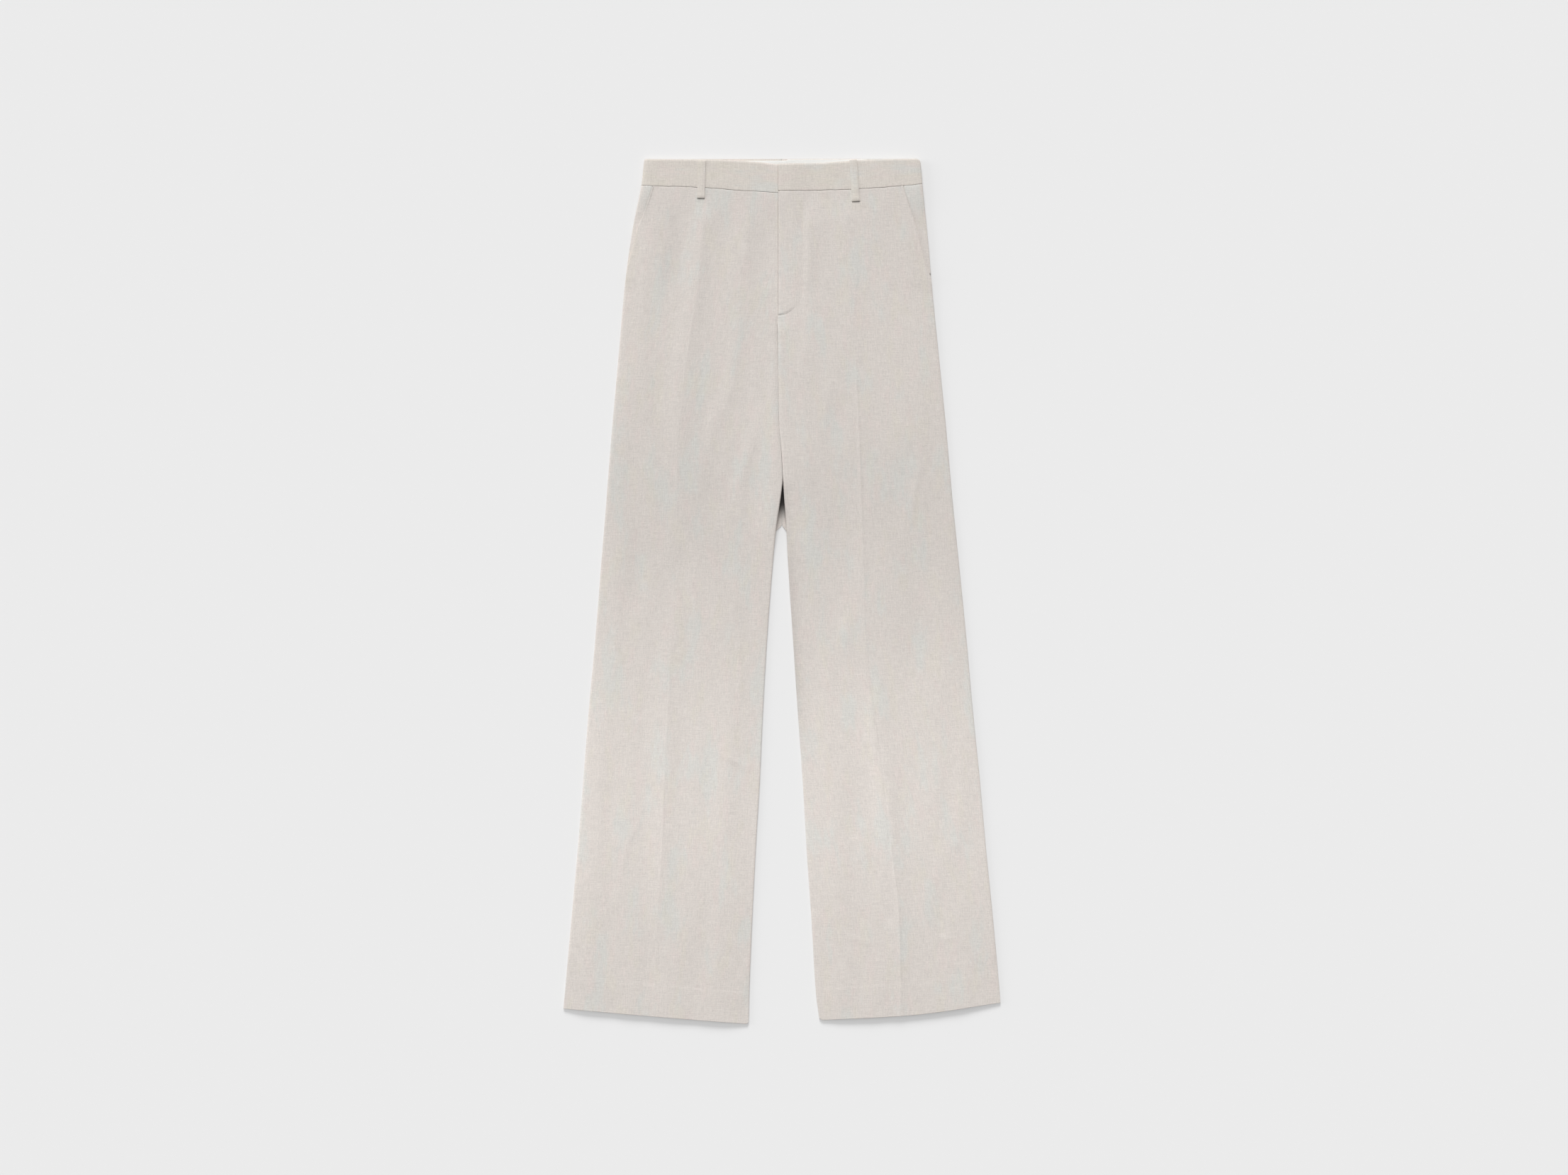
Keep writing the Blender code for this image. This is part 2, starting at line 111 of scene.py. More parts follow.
Section = namedtuple(
    "Section", "y outer_right crease_right inner_right inner_left crease_left outer_left"
)
SECTIONS = (
    Section(552.2, -175.6, -96.0, -4.4, -4.4, 82.0, 176.5),
    Section(520.0, -179.0, -96.0, -4.4, -4.4, 82.0, 179.2),
    Section(484.0, -186.4, -98.6, -4.8, -4.8, 83.3, 182.8),
    Section(448.0, -192.8, -102.2, -5.6, -5.6, 85.0, 186.4),
    Section(394.0, -200.0, -106.8, -5.8, -5.8, 88.0, 191.0),
    Section(303.0, -208.2, -120.6, -5.4, -5.0, 93.6, 200.0),
    Section(213.0, -216.3, -131.0, -3.9, -3.5, 97.9, 209.1),
    Section(177.0, -219.3, -133.4, -0.8, -0.4, 99.2, 212.3),
    Section(142.0, -222.0, -134.0, 0.8, 1.3, 100.5, 215.4),
    Section(122.0, -223.5, -134.3, -1.2, 2.6, 101.2, 217.2),
    Section(87.0, -226.3, -135.2, -6.3, 5.3, 102.5, 220.7),
    Section(42.0, -230.0, -136.4, -11.0, 7.6, 104.2, 225.3),
    Section(-59.0, -238.0, -140.5, -18.8, 14.1, 107.2, 235.3),
    Section(-149.0, -246.2, -145.3, -24.0, 20.0, 118.1, 243.4),
    Section(-240.0, -253.4, -149.8, -28.2, 26.5, 129.4, 252.5),
    Section(-330.0, -260.6, -153.2, -33.5, 31.7, 139.8, 260.6),
    Section(-421.0, -268.8, -158.6, -38.0, 38.0, 149.6, 269.7),
    Section(-511.0, -276.9, -162.5, -41.6, 43.4, 151.6, 277.8),
    Section(-552.0, -280.6, -164.5, -42.6, 49.0, 151.2, 280.9),
)

Waist = namedtuple("Waist", "x seam top")
WAIST = {
    "right": (
        Waist(-180.0, 518.0, 551.9),
        Waist(-102.0, 515.2, 551.2),
        Waist(-57.0, 511.9, 550.0),
        Waist(-29.0, 510.2, 547.9),
        Waist(-5.0, 508.9, 545.2),
        Waist(4.0, 511.6, 545.0),
    ),
    "left": (
        Waist(-5.0, 511.1, 545.6),
        Waist(52.0, 511.9, 547.1),
        Waist(92.0, 513.2, 549.8),
        Waist(125.0, 515.3, 551.5),
        Waist(153.0, 517.4, 552.0),
        Waist(180.0, 520.2, 552.2),
    ),
}

Hem = namedtuple("Hem", "x y")
HEM = {
    "right": (Hem(-279.0, -532.4), Hem(-152.0, -543.4), Hem(-42.0, -552.2)),
    "left": (Hem(49.0, -547.2), Hem(162.0, -541.0), Hem(279.0, -524.9)),
}

Mouth = namedtuple("Mouth", "y right left")
POCKET_MOUTH = (
    Mouth(521.0, -162.8, 153.0),
    Mouth(502.0, -168.9, 158.8),
    Mouth(483.5, -175.2, 165.0),
    Mouth(464.0, -183.6, 171.6),
    Mouth(438.5, -190.2, 178.0),
    Mouth(410.0, -197.4, 185.6),
    Mouth(POCKET_END, -199.0, 190.2),
)

FLY_LINE = (           # the stitching, down from the waist seam and round to the centre front
    (26.2, 511.5), (26.2, 380.0), (23.1, 372.4), (16.1, 363.2), (11.5, 359.1), (6.9, 356.0), (2.3, 353.7),
    (-4.6, 352.8),
)
FLY_FOOT = tuple(zip(*reversed(FLY_LINE[1:])))   # its curved end, as x and y from the wearer's right

Loop = namedtuple("Loop", "name leg x_low y_low x_high y_high width")
FRONT_LOOPS = (
    Loop("belt_loop_front_right", "right", -103.3, 501.8, -101.8, 550.2, 9.6),
    Loop("belt_loop_front_left", "left", 94.3, 497.8, 90.7, 550.6, 9.8),
)
BACK_LOOPS = (
    Loop("belt_loop_back_right", "right", -108.0, 499.0, -106.0, 550.6, 10.0),
    Loop("belt_loop_back_centre", "left", 0.0, 499.0, 0.0, 550.6, 10.0),
    Loop("belt_loop_back_left", "left", 108.0, 499.0, 106.0, 550.6, 10.0),
)
print("measures:", len(SECTIONS), "levels,", len(FRONT_LOOPS) + len(BACK_LOOPS), "belt loops")

# %% [markdown]
# ## Creases and folds
#
# The iron leaves one crease down each leg: a sharp edge on top of a broad ridge. It is strong at the
# thigh, faint at the knee and strong again below. Handling leaves long soft folds, shallow enough that
# only their shading shows. Each is one row: the points it runs through, half its width, and how high it
# stands, or how deep it sinks when negative. A sculpted mesh could hold the same, but not tell it.
# The fold table holds heights that keep their proportions, and one gain sets how strongly they all show.

# %% Creases and folds
Crease = namedtuple("Crease", "y sharp_right broad_right sharp_left broad_left")
CREASES = (
    Crease(500.0, 0.0, 0.3, 0.0, 0.1),
    Crease(470.0, 0.15, 1.1, 0.0, 0.6),
    Crease(400.0, 0.2, 1.3, 0.0, 0.7),
    Crease(300.0, 0.2, 1.2, 0.2, 0.3),
    Crease(235.0, 0.15, 0.7, 0.45, 0.1),
    Crease(130.0, 0.1, 0.2, 0.5, 0.0),
    Crease(40.0, 0.0, 0.2, 0.3, 0.3),
    Crease(-60.0, 0.1, 0.9, 0.1, 1.0),
    Crease(-150.0, 0.25, 1.2, -0.4, 1.7),
    Crease(-300.0, 0.35, 1.5, -0.3, 2.0),
    Crease(-345.0, 0.3, 1.2, 0.7, 1.5),
    Crease(-430.0, 0.15, 0.3, 0.6, 1.1),
    Crease(-540.0, 0.1, 0.1, 0.3, 0.5),
)
SHARP, BROAD = 1.8, 15.0   # half-widths of the two parts of the crease

Fold = namedtuple("Fold", "path half_width height")
FOLDS = (
    # right leg, hip and thigh
    Fold(((-132, 490), (-134, 440), (-152, 360)), 13.0, -0.6),
    Fold(((-152, 300), (-160, 215), (-146, 155)), 12.0, -0.55),
    Fold(((-44, 490), (-45, 440), (-46, 390)), 6.0, 0.4),
    Fold(((-52, 500), (-56, 400), (-62, 300)), 24.0, 0.6),
    Fold(((-54, 365), (-66, 265), (-86, 210), (-100, 152)), 11.0, 0.6),
    Fold(((-24, 250), (-46, 165), (-55, 120), (-44, 40)), 9.0, 0.55),
    Fold(((-92, 150), (-80, 85)), 13.0, -0.6),
    Fold(((-205, 300), (-196, 230)), 9.0, 0.4),
    Fold(((-186, 80), (-178, 30), (-190, -40)), 12.0, -0.5),
    Fold(((-116, 0), (-100, -60)), 4.5, 0.35),
    Fold(((-128, 60), (-122, 10)), 8.0, -0.3),
    # right leg, knee and below
    Fold(((-56, -40), (-52, -150)), 4.0, 0.35),
    Fold(((-80, -130), (-72, -285), (-92, -348)), 16.0, 0.55),
    Fold(((-84, -204), (-40, -228)), 4.0, 0.3),
    Fold(((-66, -212), (-50, -248)), 3.5, -0.3),
    Fold(((-178, -286), (-196, -322), (-206, -367)), 3.2, 0.3),
    Fold(((-212, -376), (-216, -412)), 5.0, 0.35),
    Fold(((-194, -170), (-160, -160)), 5.0, 0.15),
    Fold(((-236, -140), (-240, -280)), 12.0, 0.5),
    Fold(((-170, -420), (-160, -520)), 14.0, -0.4),
    Fold(((-120, -400), (-110, -470)), 9.0, 0.3),
    Fold(((-230, -470), (-212, -520)), 9.0, 0.3),
    Fold(((-66, -390), (-62, -510)), 12.0, -0.5),
    # left leg, hip and thigh
    Fold(((35, 500), (35, 440), (34, 380)), 6.5, 0.5),
    Fold(((-24, 480), (-22, 390)), 14.0, -0.4),
    Fold(((140, 450), (158, 330)), 18.0, -0.5),
    Fold(((178, 176), (163, 84)), 3.5, 0.3),
    Fold(((80, 142), (100, 76)), 3.5, 0.3),
    Fold(((166, 226), (158, 172)), 4.0, 0.25),
    Fold(((128, 190), (150, 70)), 16.0, -0.5),
    Fold(((24, 320), (40, 210)), 14.0, 0.5),
    Fold(((64, 250), (78, 180)), 12.0, -0.35),
    # left leg, knee and below
    Fold(((178, 110), (190, 0), (182, -130)), 30.0, -1.6),
    Fold(((79, -20), (84, -90)), 12.0, 0.5),
    Fold(((56, -10), (66, -110)), 9.0, -0.3),
    Fold(((232, -136), (232, -250), (226, -356)), 11.0, 0.8),
    Fold(((78, -441), (128, -450)), 3.5, 0.22),
    Fold(((194, -446), (222, -440)), 3.5, 0.22),
    Fold(((92, -386), (100, -410)), 3.0, 0.25),
    Fold(((78, -250), (96, -330)), 10.0, -0.4),
    Fold(((196, -350), (206, -470)), 14.0, -0.5),
    Fold(((250, -470), (262, -520)), 12.0, -0.5),
    Fold(((70, -480), (84, -530)), 12.0, 0.3),
    Fold(((216, -330), (222, -318)), 3.0, 0.25),
)
FOLD_GAIN = 1.35
print("folds:", len(FOLDS), "of which raised:", sum(fold.height > 0 for fold in FOLDS))

# %% [markdown]
# ## Tone: painted light and shade
#
# The photographed cloth isn't equally light all over: the light falls on it unevenly and its folds
# shade it. That light and shade is painted into the cloth's colour. One picture can't tell whether that is
# the light, the pressing or the cloth itself. A patterned lamp would show it in one view only, so each
# piece of the front keeps it as an attribute of the mesh. The numbers were set by measuring where this
# scene's picture was lighter or darker than the photograph, then rounded: broad levels down the leg, soft
# patches and the line of the left crease. A shade of 0.02 is 2 per cent darker, and a negative shade is
# painted light.

# %% Tone: painted light and shade
Level = namedtuple("Level", "y tone")
# tone factors of painted light and shade down the leg: below 1 is painted shade, above 1 painted light
PAINTED_LIGHT_LEVELS = (
    Level(552.0, 0.96), Level(320.0, 0.98), Level(150.0, 0.94), Level(50.0, 0.957), Level(-60.0, 0.994),
    Level(-170.0, 1.04), Level(-280.0, 1.06), Level(-440.0, 1.005), Level(-552.0, 0.98),
)
PaintedPatch = namedtuple("PaintedPatch", "x y half_width half_height shade")
# soft patches of painted shade, and of painted light where the shade is negative
PAINTED_LIGHT_PATCHES = (
    # right leg
    PaintedPatch(-190, 470, 16, 60, -0.035), PaintedPatch(-75, 480, 30, 20, 0.02), PaintedPatch(-138, 420, 14, 50, 0.03),
    PaintedPatch(-95, 85, 27, 55, 0.035), PaintedPatch(-195, 70, 35, 70, 0.015), PaintedPatch(-16, 68, 22, 42, -0.09),
    PaintedPatch(-40, 10, 15, 45, -0.02), PaintedPatch(-60, -552, 38, 14, -0.03), PaintedPatch(-270, -490, 12, 50, 0.025),
    # left leg
    PaintedPatch(171, 493, 16, 20, -0.025), PaintedPatch(169, 430, 16, 45, 0.02), PaintedPatch(10, 350, 32, 70, -0.025),
    PaintedPatch(125, 100, 22, 45, 0.02), PaintedPatch(18, 80, 24, 42, -0.075), PaintedPatch(215, 15, 18, 75, 0.025),
    PaintedPatch(178, -60, 35, 40, 0.02), PaintedPatch(92, -170, 24, 60, -0.015), PaintedPatch(128, -230, 24, 90, -0.02),
    PaintedPatch(200, -552, 40, 16, 0.03),
)
PAINTED_CREASE_LINE = (        # painted crease line: dark at the knee, a pale painted highlight on the shin
    Level(20.0, 0.0), Level(-30.0, 0.02), Level(-60.0, 0.035), Level(-115.0, 0.035), Level(-170.0, 0.045),
    Level(-225.0, 0.03), Level(-260.0, 0.0), Level(-285.0, -0.03), Level(-330.0, -0.04),
    Level(-385.0, -0.02), Level(-430.0, 0.0), Level(-552.0, 0.0),
)
PAINTED_CREASE_REACH = 1.6   # half its width, roughly
PAINTED_LOOP_END_SHADOW = 0.6       # painted shadow: next to nothing of the light gets under a front loop's lower end
PAINTED_INSEAM_SHADE, PAINTED_INSEAM_REACH = 0.2, 6.0   # painted shade: the left inseam gets less light as well
print("tone:", len(PAINTED_LIGHT_PATCHES), "patches")

# %% [markdown]
# ## Lines through the tables
#
# `curve` draws a smooth line through a column that never swings past its rows, so that a hem or a side
# seam has no bumps between two measured levels. `ramp` is a soft step from 0 to 1, `bell` a soft bump.

# %% Lines through the tables
def curve(at, knots, values):
    """The values at these knots joined by cubic pieces that stay between their ends."""
    order = np.argsort(knots)
    knots, values = np.array(knots, float)[order], np.array(values, float)[order]
    at = np.clip(at, knots[0], knots[-1])
    run = np.diff(knots)
    slope = np.diff(values) / run
    tangent = np.concatenate([slope[:1], np.zeros(len(knots) - 2), slope[-1:]])
    same = slope[:-1] * slope[1:] > 0
    tangent[1:-1][same] = (2 * slope[:-1] * slope[1:])[same] / (slope[:-1] + slope[1:])[same]
    i = np.clip(np.searchsorted(knots, at) - 1, 0, len(run) - 1)
    t = (at - knots[i]) / run[i]
    ends = (1 - t) ** 2 * (1 + 2 * t) * values[i] + t**2 * (3 - 2 * t) * values[i + 1]
    return ends + t * (1 - t) * run[i] * ((1 - t) * tangent[i] - t * tangent[i + 1])


def ramp(value, start, end):
    """0 at start and before it, 1 at end and past it, and a soft step between them."""
    t = np.clip((value - start) / (end - start), 0.0, 1.0)
    return t * t * (3 - 2 * t)


def bell(distance, half_width):
    """1 in the middle, fading to 0 on both sides."""
    return np.exp(-((distance / half_width) ** 2))


def shoulder(distance, reach):
    """A quarter of a circle: 0 at the edge, 1 from this reach on."""
    return np.sqrt(1 - (1 - np.clip(distance / reach, 0.0, 1.0)) ** 2)


def column(table, name, at, key):
    """The smooth line through one column of a table, read at these values of its key."""
    return curve(at, [getattr(row, key) for row in table], [getattr(row, name) for row in table])


def line(name, leg, y):
    """x of a leg's outer edge, crease or inner edge at these levels."""
    return column(SECTIONS, f"{name}_{leg}", y, "y")


def waist_seam(leg, x):
    """Level of the waist seam, which wavers as a sewn seam does."""
    waver = 0.15 * np.sin(x / 3.1 + 1.0) + 0.15 * np.sin(x / 7.3) + 0.07 * np.sin(x / 1.7 + 2.0)
    return column(WAIST[leg], "seam", x, "x") + waver


def seam_gap(leg, x):
    """How far the waistband and the panel each stop short of the seam. It is a little wider beside the right
    crease, and the corners at the centre front don't quite meet."""
    uneven = SEAM + 0.02 * np.sin(x / 6.3) + 0.02 * np.sin(x / 2.3 + 1.0) + 0.1 * bell(x + 97.0, 8.0)
    return uneven + 0.6 * bell(x - CENTRE_FRONT, 1.3) * (leg == "left")


def distance_to_path(x, y, path):
    """Distance from each point to the nearest stretch of a path."""
    nearest = np.full(np.shape(x), np.inf)
    for (x0, y0), (x1, y1) in zip(path, path[1:]):
        length = math.hypot(x1 - x0, y1 - y0)
        ax, ay = (x1 - x0) / length, (y1 - y0) / length
        run = np.clip((x - x0) * ax + (y - y0) * ay, 0.0, length)
        nearest = np.minimum(nearest, np.hypot(x - x0 - run * ax, y - y0 - run * ay))
    return nearest


shin_width = float(line("inner", "right", -300) - line("outer", "right", -300))
print("the right leg is", round(shin_width), "mm wide at the shin")

# %% [markdown]
# ## Ripples and folds
#
# Cloth that has been pressed and laid down still isn't flat. Waves of many lengths, each very low, give
# the light something to catch. A sum of plane waves with seeded directions is smooth at every scale and
# costs nothing, where a noise texture would need to be baked into the mesh.

# %% Ripples and folds
WAVE_COUNT = 34
WAVE_LENGTHS = (9.0, 90.0)
WAVE_HEIGHT = 0.0008   # of its length
rng = np.random.default_rng(7)
WAVES = [
    (length, angle, rng.uniform(0, 2 * np.pi))
    for length, angle in zip(np.geomspace(*WAVE_LENGTHS, WAVE_COUNT), rng.normal(0.0, 0.5, WAVE_COUNT))
]


def ripple(x, y):
    """Low waves, most of them running down the leg."""
    height = np.zeros(np.shape(x))
    for length, angle, phase in WAVES:
        onward = x * math.cos(angle) + y * math.sin(angle) * 0.35
        height = height + length * WAVE_HEIGHT * np.sin(2 * np.pi * onward / length + phase)
    return height


def folds(x, y):
    """Folds that rise and fade along their paths."""
    height = np.zeros(np.shape(x))
    for fold in FOLDS:
        path = np.array(fold.path, float)
        lengthwise = np.ptp(path[:, 1]) >= np.ptp(path[:, 0])
        along, aside = (y, x) if lengthwise else (x, y)
        knots, values = (path[:, 1], path[:, 0]) if lengthwise else (path[:, 0], path[:, 1])
        start, end = knots.min() - fold.half_width, knots.max() + fold.half_width
        reach = np.ptp(knots) * 0.3 + fold.half_width
        fade = ramp(along, start, knots.min() + reach) * ramp(along, end, knots.max() - reach)
        away = aside - curve(along, knots, values)
        height = height + FOLD_GAIN * fold.height * bell(away, fold.half_width) * fade
    return height


print("the longest ripple is", round(max(length for length, _, _ in WAVES)), "mm from crest to crest")

# %% [markdown]
# ## Heights of the layers
#
# Every layer lies on the one below it: the back on the table, the front on the back, and at the waist the
# doubled band on both. One function for each layer gives the height of its upper face at any place, so that
# neighbours always agree where they meet.

# %% Heights of the back, the waistband and the pocket side pieces
TRENCH_EDGE, TRENCH_FOOT = 0.22, 0.1   # how far from the centre front the step down starts and ends
TRENCH_DEPTH = 0.9
UNDER_MOUTH = 0.15     # air between a side piece and the front over it
UNDER_BAND = 0.1       # the panels lie this much lower than the waistband


def back_lift(y):
    """Height of the back panels: on the table, and up on the loops at the waist."""
    return BAND_LIFT * ramp(y, SLOPE_FROM, SLOPE_TO)


def front_lift(y):
    """How much higher the fronts lie towards the waist."""
    return BAND_LIFT * ramp(y, FRONT_LIFT_FROM, FRONT_LIFT_TO)


def trench(x):
    """The right front and its waistband step down under the edge of the left ones."""
    return ramp(x, CENTRE_FRONT - TRENCH_EDGE, CENTRE_FRONT - TRENCH_FOOT)


def band_top(leg, x, y):
    """Height of the front waistband's upper face."""
    full = shoulder(abs(x - line("outer", leg, y)), BAND_SHOULDER)
    height = BAND_EDGE + (BAND_TOP - BAND_EDGE + 0.6 * ripple(x * 0.8, y + 40)) * full
    if leg == "right":
        return height - TRENCH_DEPTH * trench(x)
    from_edge = x - CENTRE_FRONT
    height = height + BAND_LAP * ramp(from_edge, BAND_LAP_END, BAND_LAP_FLAT)
    return height - 0.3 * (1 - shoulder(from_edge, 3.0))


def waist_dip(leg, x, y):
    """The cloth goes down a little into the waist seam."""
    return 0.2 * bell(waist_seam(leg, x) - y, 0.7)


def facing_top(leg, x, y):
    """Height of a pocket side piece. It comes up level with the waistband, but lower where the front
    covers it."""
    inside = shoulder(abs(x - line("outer", leg, y)), FACING_REACH)
    height = front_lift(y) + SEAM_TOP + (FACING_TOP - SEAM_TOP) * inside + 0.15 * ripple(x, y)
    outward = (column(POCKET_MOUTH, leg, y, "y") - x) * LEGS[leg]
    covered = ramp(outward, 2.5, -2.0)
    level = band_top(leg, x, y) - UNDER_BAND - (CLOTH + MOUTH_EXTRA + UNDER_MOUTH) * covered
    return height + (level - height) * ramp(y, LEVEL_FROM, LEVEL_TO)


print("the waistband stands", round(float(band_top("right", -100.0, 530.0)), 2), "mm off the table")

# %% [markdown]
# ## Height of the fronts
#
# A front is the garment's main surface, so its height is put together from what a tailor would name: how
# full it is near its edges, the crease and the folds on it, the fly, the pocket mouth, the hem, and the
# dimple under each belt loop's end.

# %% Height of the fronts
HEM_PRESSED = 70.0     # from this far up, the pressed hem makes the edges rounder
HEM_MARK = 0.12        # the turned-up layer ends in a faint step
SIDE_LOW, INSEAM_LOW = 0.35, 0.25   # shares of the full height just inside the side seam and the inseam
INSEAM_RISE = 44.0
CROTCH_HALF_WIDTH, CROTCH_HALF_HEIGHT = 40.0, 78.0
FOOT_FROM, FOOT_TO = 385.0, 365.0   # the curved foot of the fly
LOOP_DIMPLE = 0.4
LEFT_SIDE_MARK = 6.0   # a side seam shows through this far from the left leg's edge


def hem_distance(leg, x, y):
    """How far above its hem a point lies."""
    return y - column(HEM[leg], "y", x, "x")


def parted(y):
    """0 above the level where the legs part, 1 below it."""
    return ramp(y, PARTING + 6, PARTING - 6)


def fullness(leg, x, y, from_side, from_inseam):
    """Share of its full height that the cloth has near the edges of a leg."""
    at_hem = ramp(hem_distance(leg, x, y), HEM_PRESSED, 0.0)
    walled = ramp(y, PARTING - CROTCH_WALL[leg], PARTING - 20)
    side = shoulder(from_side, ROUND[leg]["outer"] + 50.0 * at_hem)
    side = side * (SIDE_LOW + (1 - SIDE_LOW) * ramp(from_side, -8.0, RISE_REACH[leg]))
    inseam = shoulder(from_inseam, ROUND[leg]["inner"] * (1 - 0.6 * walled) + 20.0 * at_hem)
    rise = INSEAM_LOW + (1 - INSEAM_LOW) * ramp(from_inseam, -4.0, INSEAM_RISE)
    inseam = inseam * (rise + (1 - rise) * walled)
    inseam = inseam + (1 - inseam) * 0.6 * walled
    return side * (1 - (1 - inseam) * parted(y))


def relief(leg, x, y):
    """Folds, ripples and the crease, and the cloth that bunches up at the crotch."""
    below_waist = ramp(y, SLOPE_TO + 8, SLOPE_TO - 16)
    height = (folds(x, y) + ripple(x, y)) * (0.25 + 0.75 * below_waist)
    sharp, broad = (column(CREASES, f"{part}_{leg}", y, "y") for part in ("sharp", "broad"))
    from_crease = abs(x - line("crease", leg, y))
    height += sharp * np.exp(-from_crease / SHARP) + broad * bell(from_crease, BROAD)
    from_inseam, from_parting = x - line("inner", leg, y), y - PARTING + 8
    return height + CROTCH_RISE * np.exp(
        -((from_inseam / CROTCH_HALF_WIDTH) ** 2) - (from_parting / CROTCH_HALF_HEIGHT) ** 2
    )


def left_fly(x, y):
    """What the lap, its folded edge, the facing's step and the stitching do to the left front."""
    from_edge = x - CENTRE_FRONT
    change = FLY_LIFT * ramp(y, FLY_END - 110, FLY_END - 3) * ramp(from_edge, FLY_WIDTH + 80, FLY_WIDTH)
    change -= 0.4 * (1 - shoulder(from_edge, 3.0)) * ramp(y, FLY_END - 4, FLY_END + 4)
    foot = ramp(y, FOOT_FROM, FOOT_TO)
    to_stitches = distance_to_path(x, y, FLY_LINE)
    faced = np.where((x < FLY_LINE[0][0]) & (y > np.interp(x, *FLY_FOOT)), 1.0, -1.0)
    step = 0.1 + 0.35 * ramp(x, 20.0, 8.0)
    change -= step * foot * ramp(faced * to_stitches, 1.3, -1.3) * ramp(to_stitches, 22.0, 2.0)
    change -= 0.1 * bell(to_stitches, 1.2)
    change -= 0.35 * foot * bell(to_stitches * faced + 0.4, 0.8) * ramp(x, 13.0, 2.0)
    change -= 0.35 * (1 - foot) * bell(to_stitches, 6.0) * ramp(y, 506.0, 480.0)
    return change


def right_fly(x, y):
    """The right front is pressed down beside the left one's edge and steps down under it."""
    pressed = ramp(y, FLY_END - 110, FLY_END - 3) * ramp(x, CENTRE_FRONT - 25, CENTRE_FRONT)
    return -FLY_DROP * pressed - TRENCH_DEPTH * trench(x) * ramp(y, FLY_END - 6, FLY_END)


def front_top(leg, x, y):
    """Height of a front panel's upper face."""
    from_side, from_inseam = abs(x - line("outer", leg, y)), abs(x - line("inner", leg, y))
    full = fullness(leg, x, y, from_side, from_inseam)
    height = front_lift(y) + SEAM_TOP + np.maximum(PLATEAU - SEAM_TOP + relief(leg, x, y), 0.0) * full
    centre_seam = (1 - parted(y)) * ramp(y, FLY_END + 2, FLY_END - 6)
    height -= 0.5 * bell(from_inseam, 2.0) * centre_seam
    height += left_fly(x, y) if leg == "left" else right_fly(x, y)
    height += (band_top(leg, x, y) - UNDER_BAND - height) * ramp(y, LEVEL_FROM, LEVEL_TO)
    for loop in FRONT_LOOPS:
        if loop.leg == leg:
            sewn = ramp(abs(x - loop.x_low), loop.width / 2 + 1.0, loop.width / 2 - 1.0)
            height -= LOOP_DIMPLE * bell(y - loop.y_low + 0.5, 0.7) * sewn
    from_mouth = abs(x - column(POCKET_MOUTH, leg, y, "y"))
    near_mouth = ramp(from_mouth, 40.0, POCKET_UNDERLAP + 3) * ramp(y, POCKET_END - 22, POCKET_END)
    on_facing = facing_top(leg, x, y) + CLOTH + MOUTH_EXTRA + UNDER_MOUTH
    height += np.maximum(on_facing - height, 0.0) * near_mouth
    height -= HEM_MARK * ramp(hem_distance(leg, x, y), TURN_UP - 1.0, TURN_UP + 1.5)
    seam_shows = (leg == "left") * ramp(y, -470, -440) * ramp(y, -230, -260)
    height -= 0.25 * seam_shows * bell(from_side - LEFT_SIDE_MARK, 1.1)
    return height - waist_dip(leg, x, y)


print("the cloth stands", round(float(front_top("right", -80.0, 0.0)), 2), "mm off the table at the knee")

# %% [markdown]
# ## Wall and tone of the fronts
#
# The wall is one layer of cloth, and thicker where the cloth is turned up or has a facing behind it. The
# tone is read off the tables at each point.

# %% Wall and tone of the fronts
def front_wall(leg, x, y):
    """Thickness of a front panel."""
    thick = CLOTH + HEM_EXTRA * ramp(hem_distance(leg, x, y), TURN_UP + 1, TURN_UP - 1)
    from_mouth = abs(x - column(POCKET_MOUTH, leg, y, "y"))
    thick += MOUTH_EXTRA * ramp(from_mouth, 14.0, 12.0) * (y > POCKET_END)
    if leg == "left":
        faced = ramp(abs(x - CENTRE_FRONT), FLY_WIDTH + 2, FLY_WIDTH) * ramp(y, FLY_END - 2, FLY_END)
        return thick + FLY_EXTRA * faced
    return thick - 0.6 * bell(x - CENTRE_FRONT + 0.15, 0.8) * (y > FLY_END - 8)


def seam_drop(leg, x, y):
    """A front panel's inseam edge comes down to the back panel that it is sewn to."""
    from_inseam = abs(x - line("inner", leg, y))
    down = front_top(leg, x, y) - back_lift(y) - 2 * CLOTH - 0.5
    return np.maximum(down, 0.0) * ramp(from_inseam, 1.6, 0.2) * (y < PARTING)


def painted_shade_of(leg, x, y):
    """How much darker than the rest the front is painted: painted shade, and painted light where negative."""
    # painted light and shade down the leg, then the painted patches
    shade = 1 - column(PAINTED_LIGHT_LEVELS, "tone", y, "y")
    for patch in PAINTED_LIGHT_PATCHES:
        soft = bell(x - patch.x, patch.half_width) * bell(y - patch.y, patch.half_height)
        shade = shade + patch.shade * soft
    for loop in FRONT_LOOPS:
        if loop.leg == leg:
            # painted shadow on the front under each front loop's lower end
            under = ramp(abs(x - loop.x_low), loop.width / 2 + 0.6, loop.width / 2 - 0.6)
            shade = shade + PAINTED_LOOP_END_SHADOW * bell(y - loop.y_low + 0.5, 0.75) * under
    if leg == "left":
        # a painted dark line and a painted highlight along the left crease
        on_crease = np.exp(-abs(x - line("crease", leg, y)) / PAINTED_CREASE_REACH)
        shade = shade + column(PAINTED_CREASE_LINE, "tone", np.minimum(y, PAINTED_CREASE_LINE[0].y), "y") * on_crease
        # painted shade along the left inseam
        between = ramp(y, -240.0, -110.0) * ramp(y, PARTING + 10, PARTING - 20)
        shade = shade + PAINTED_INSEAM_SHADE * np.exp(-abs(x - line("inner", leg, y)) / PAINTED_INSEAM_REACH) * between
    return shade


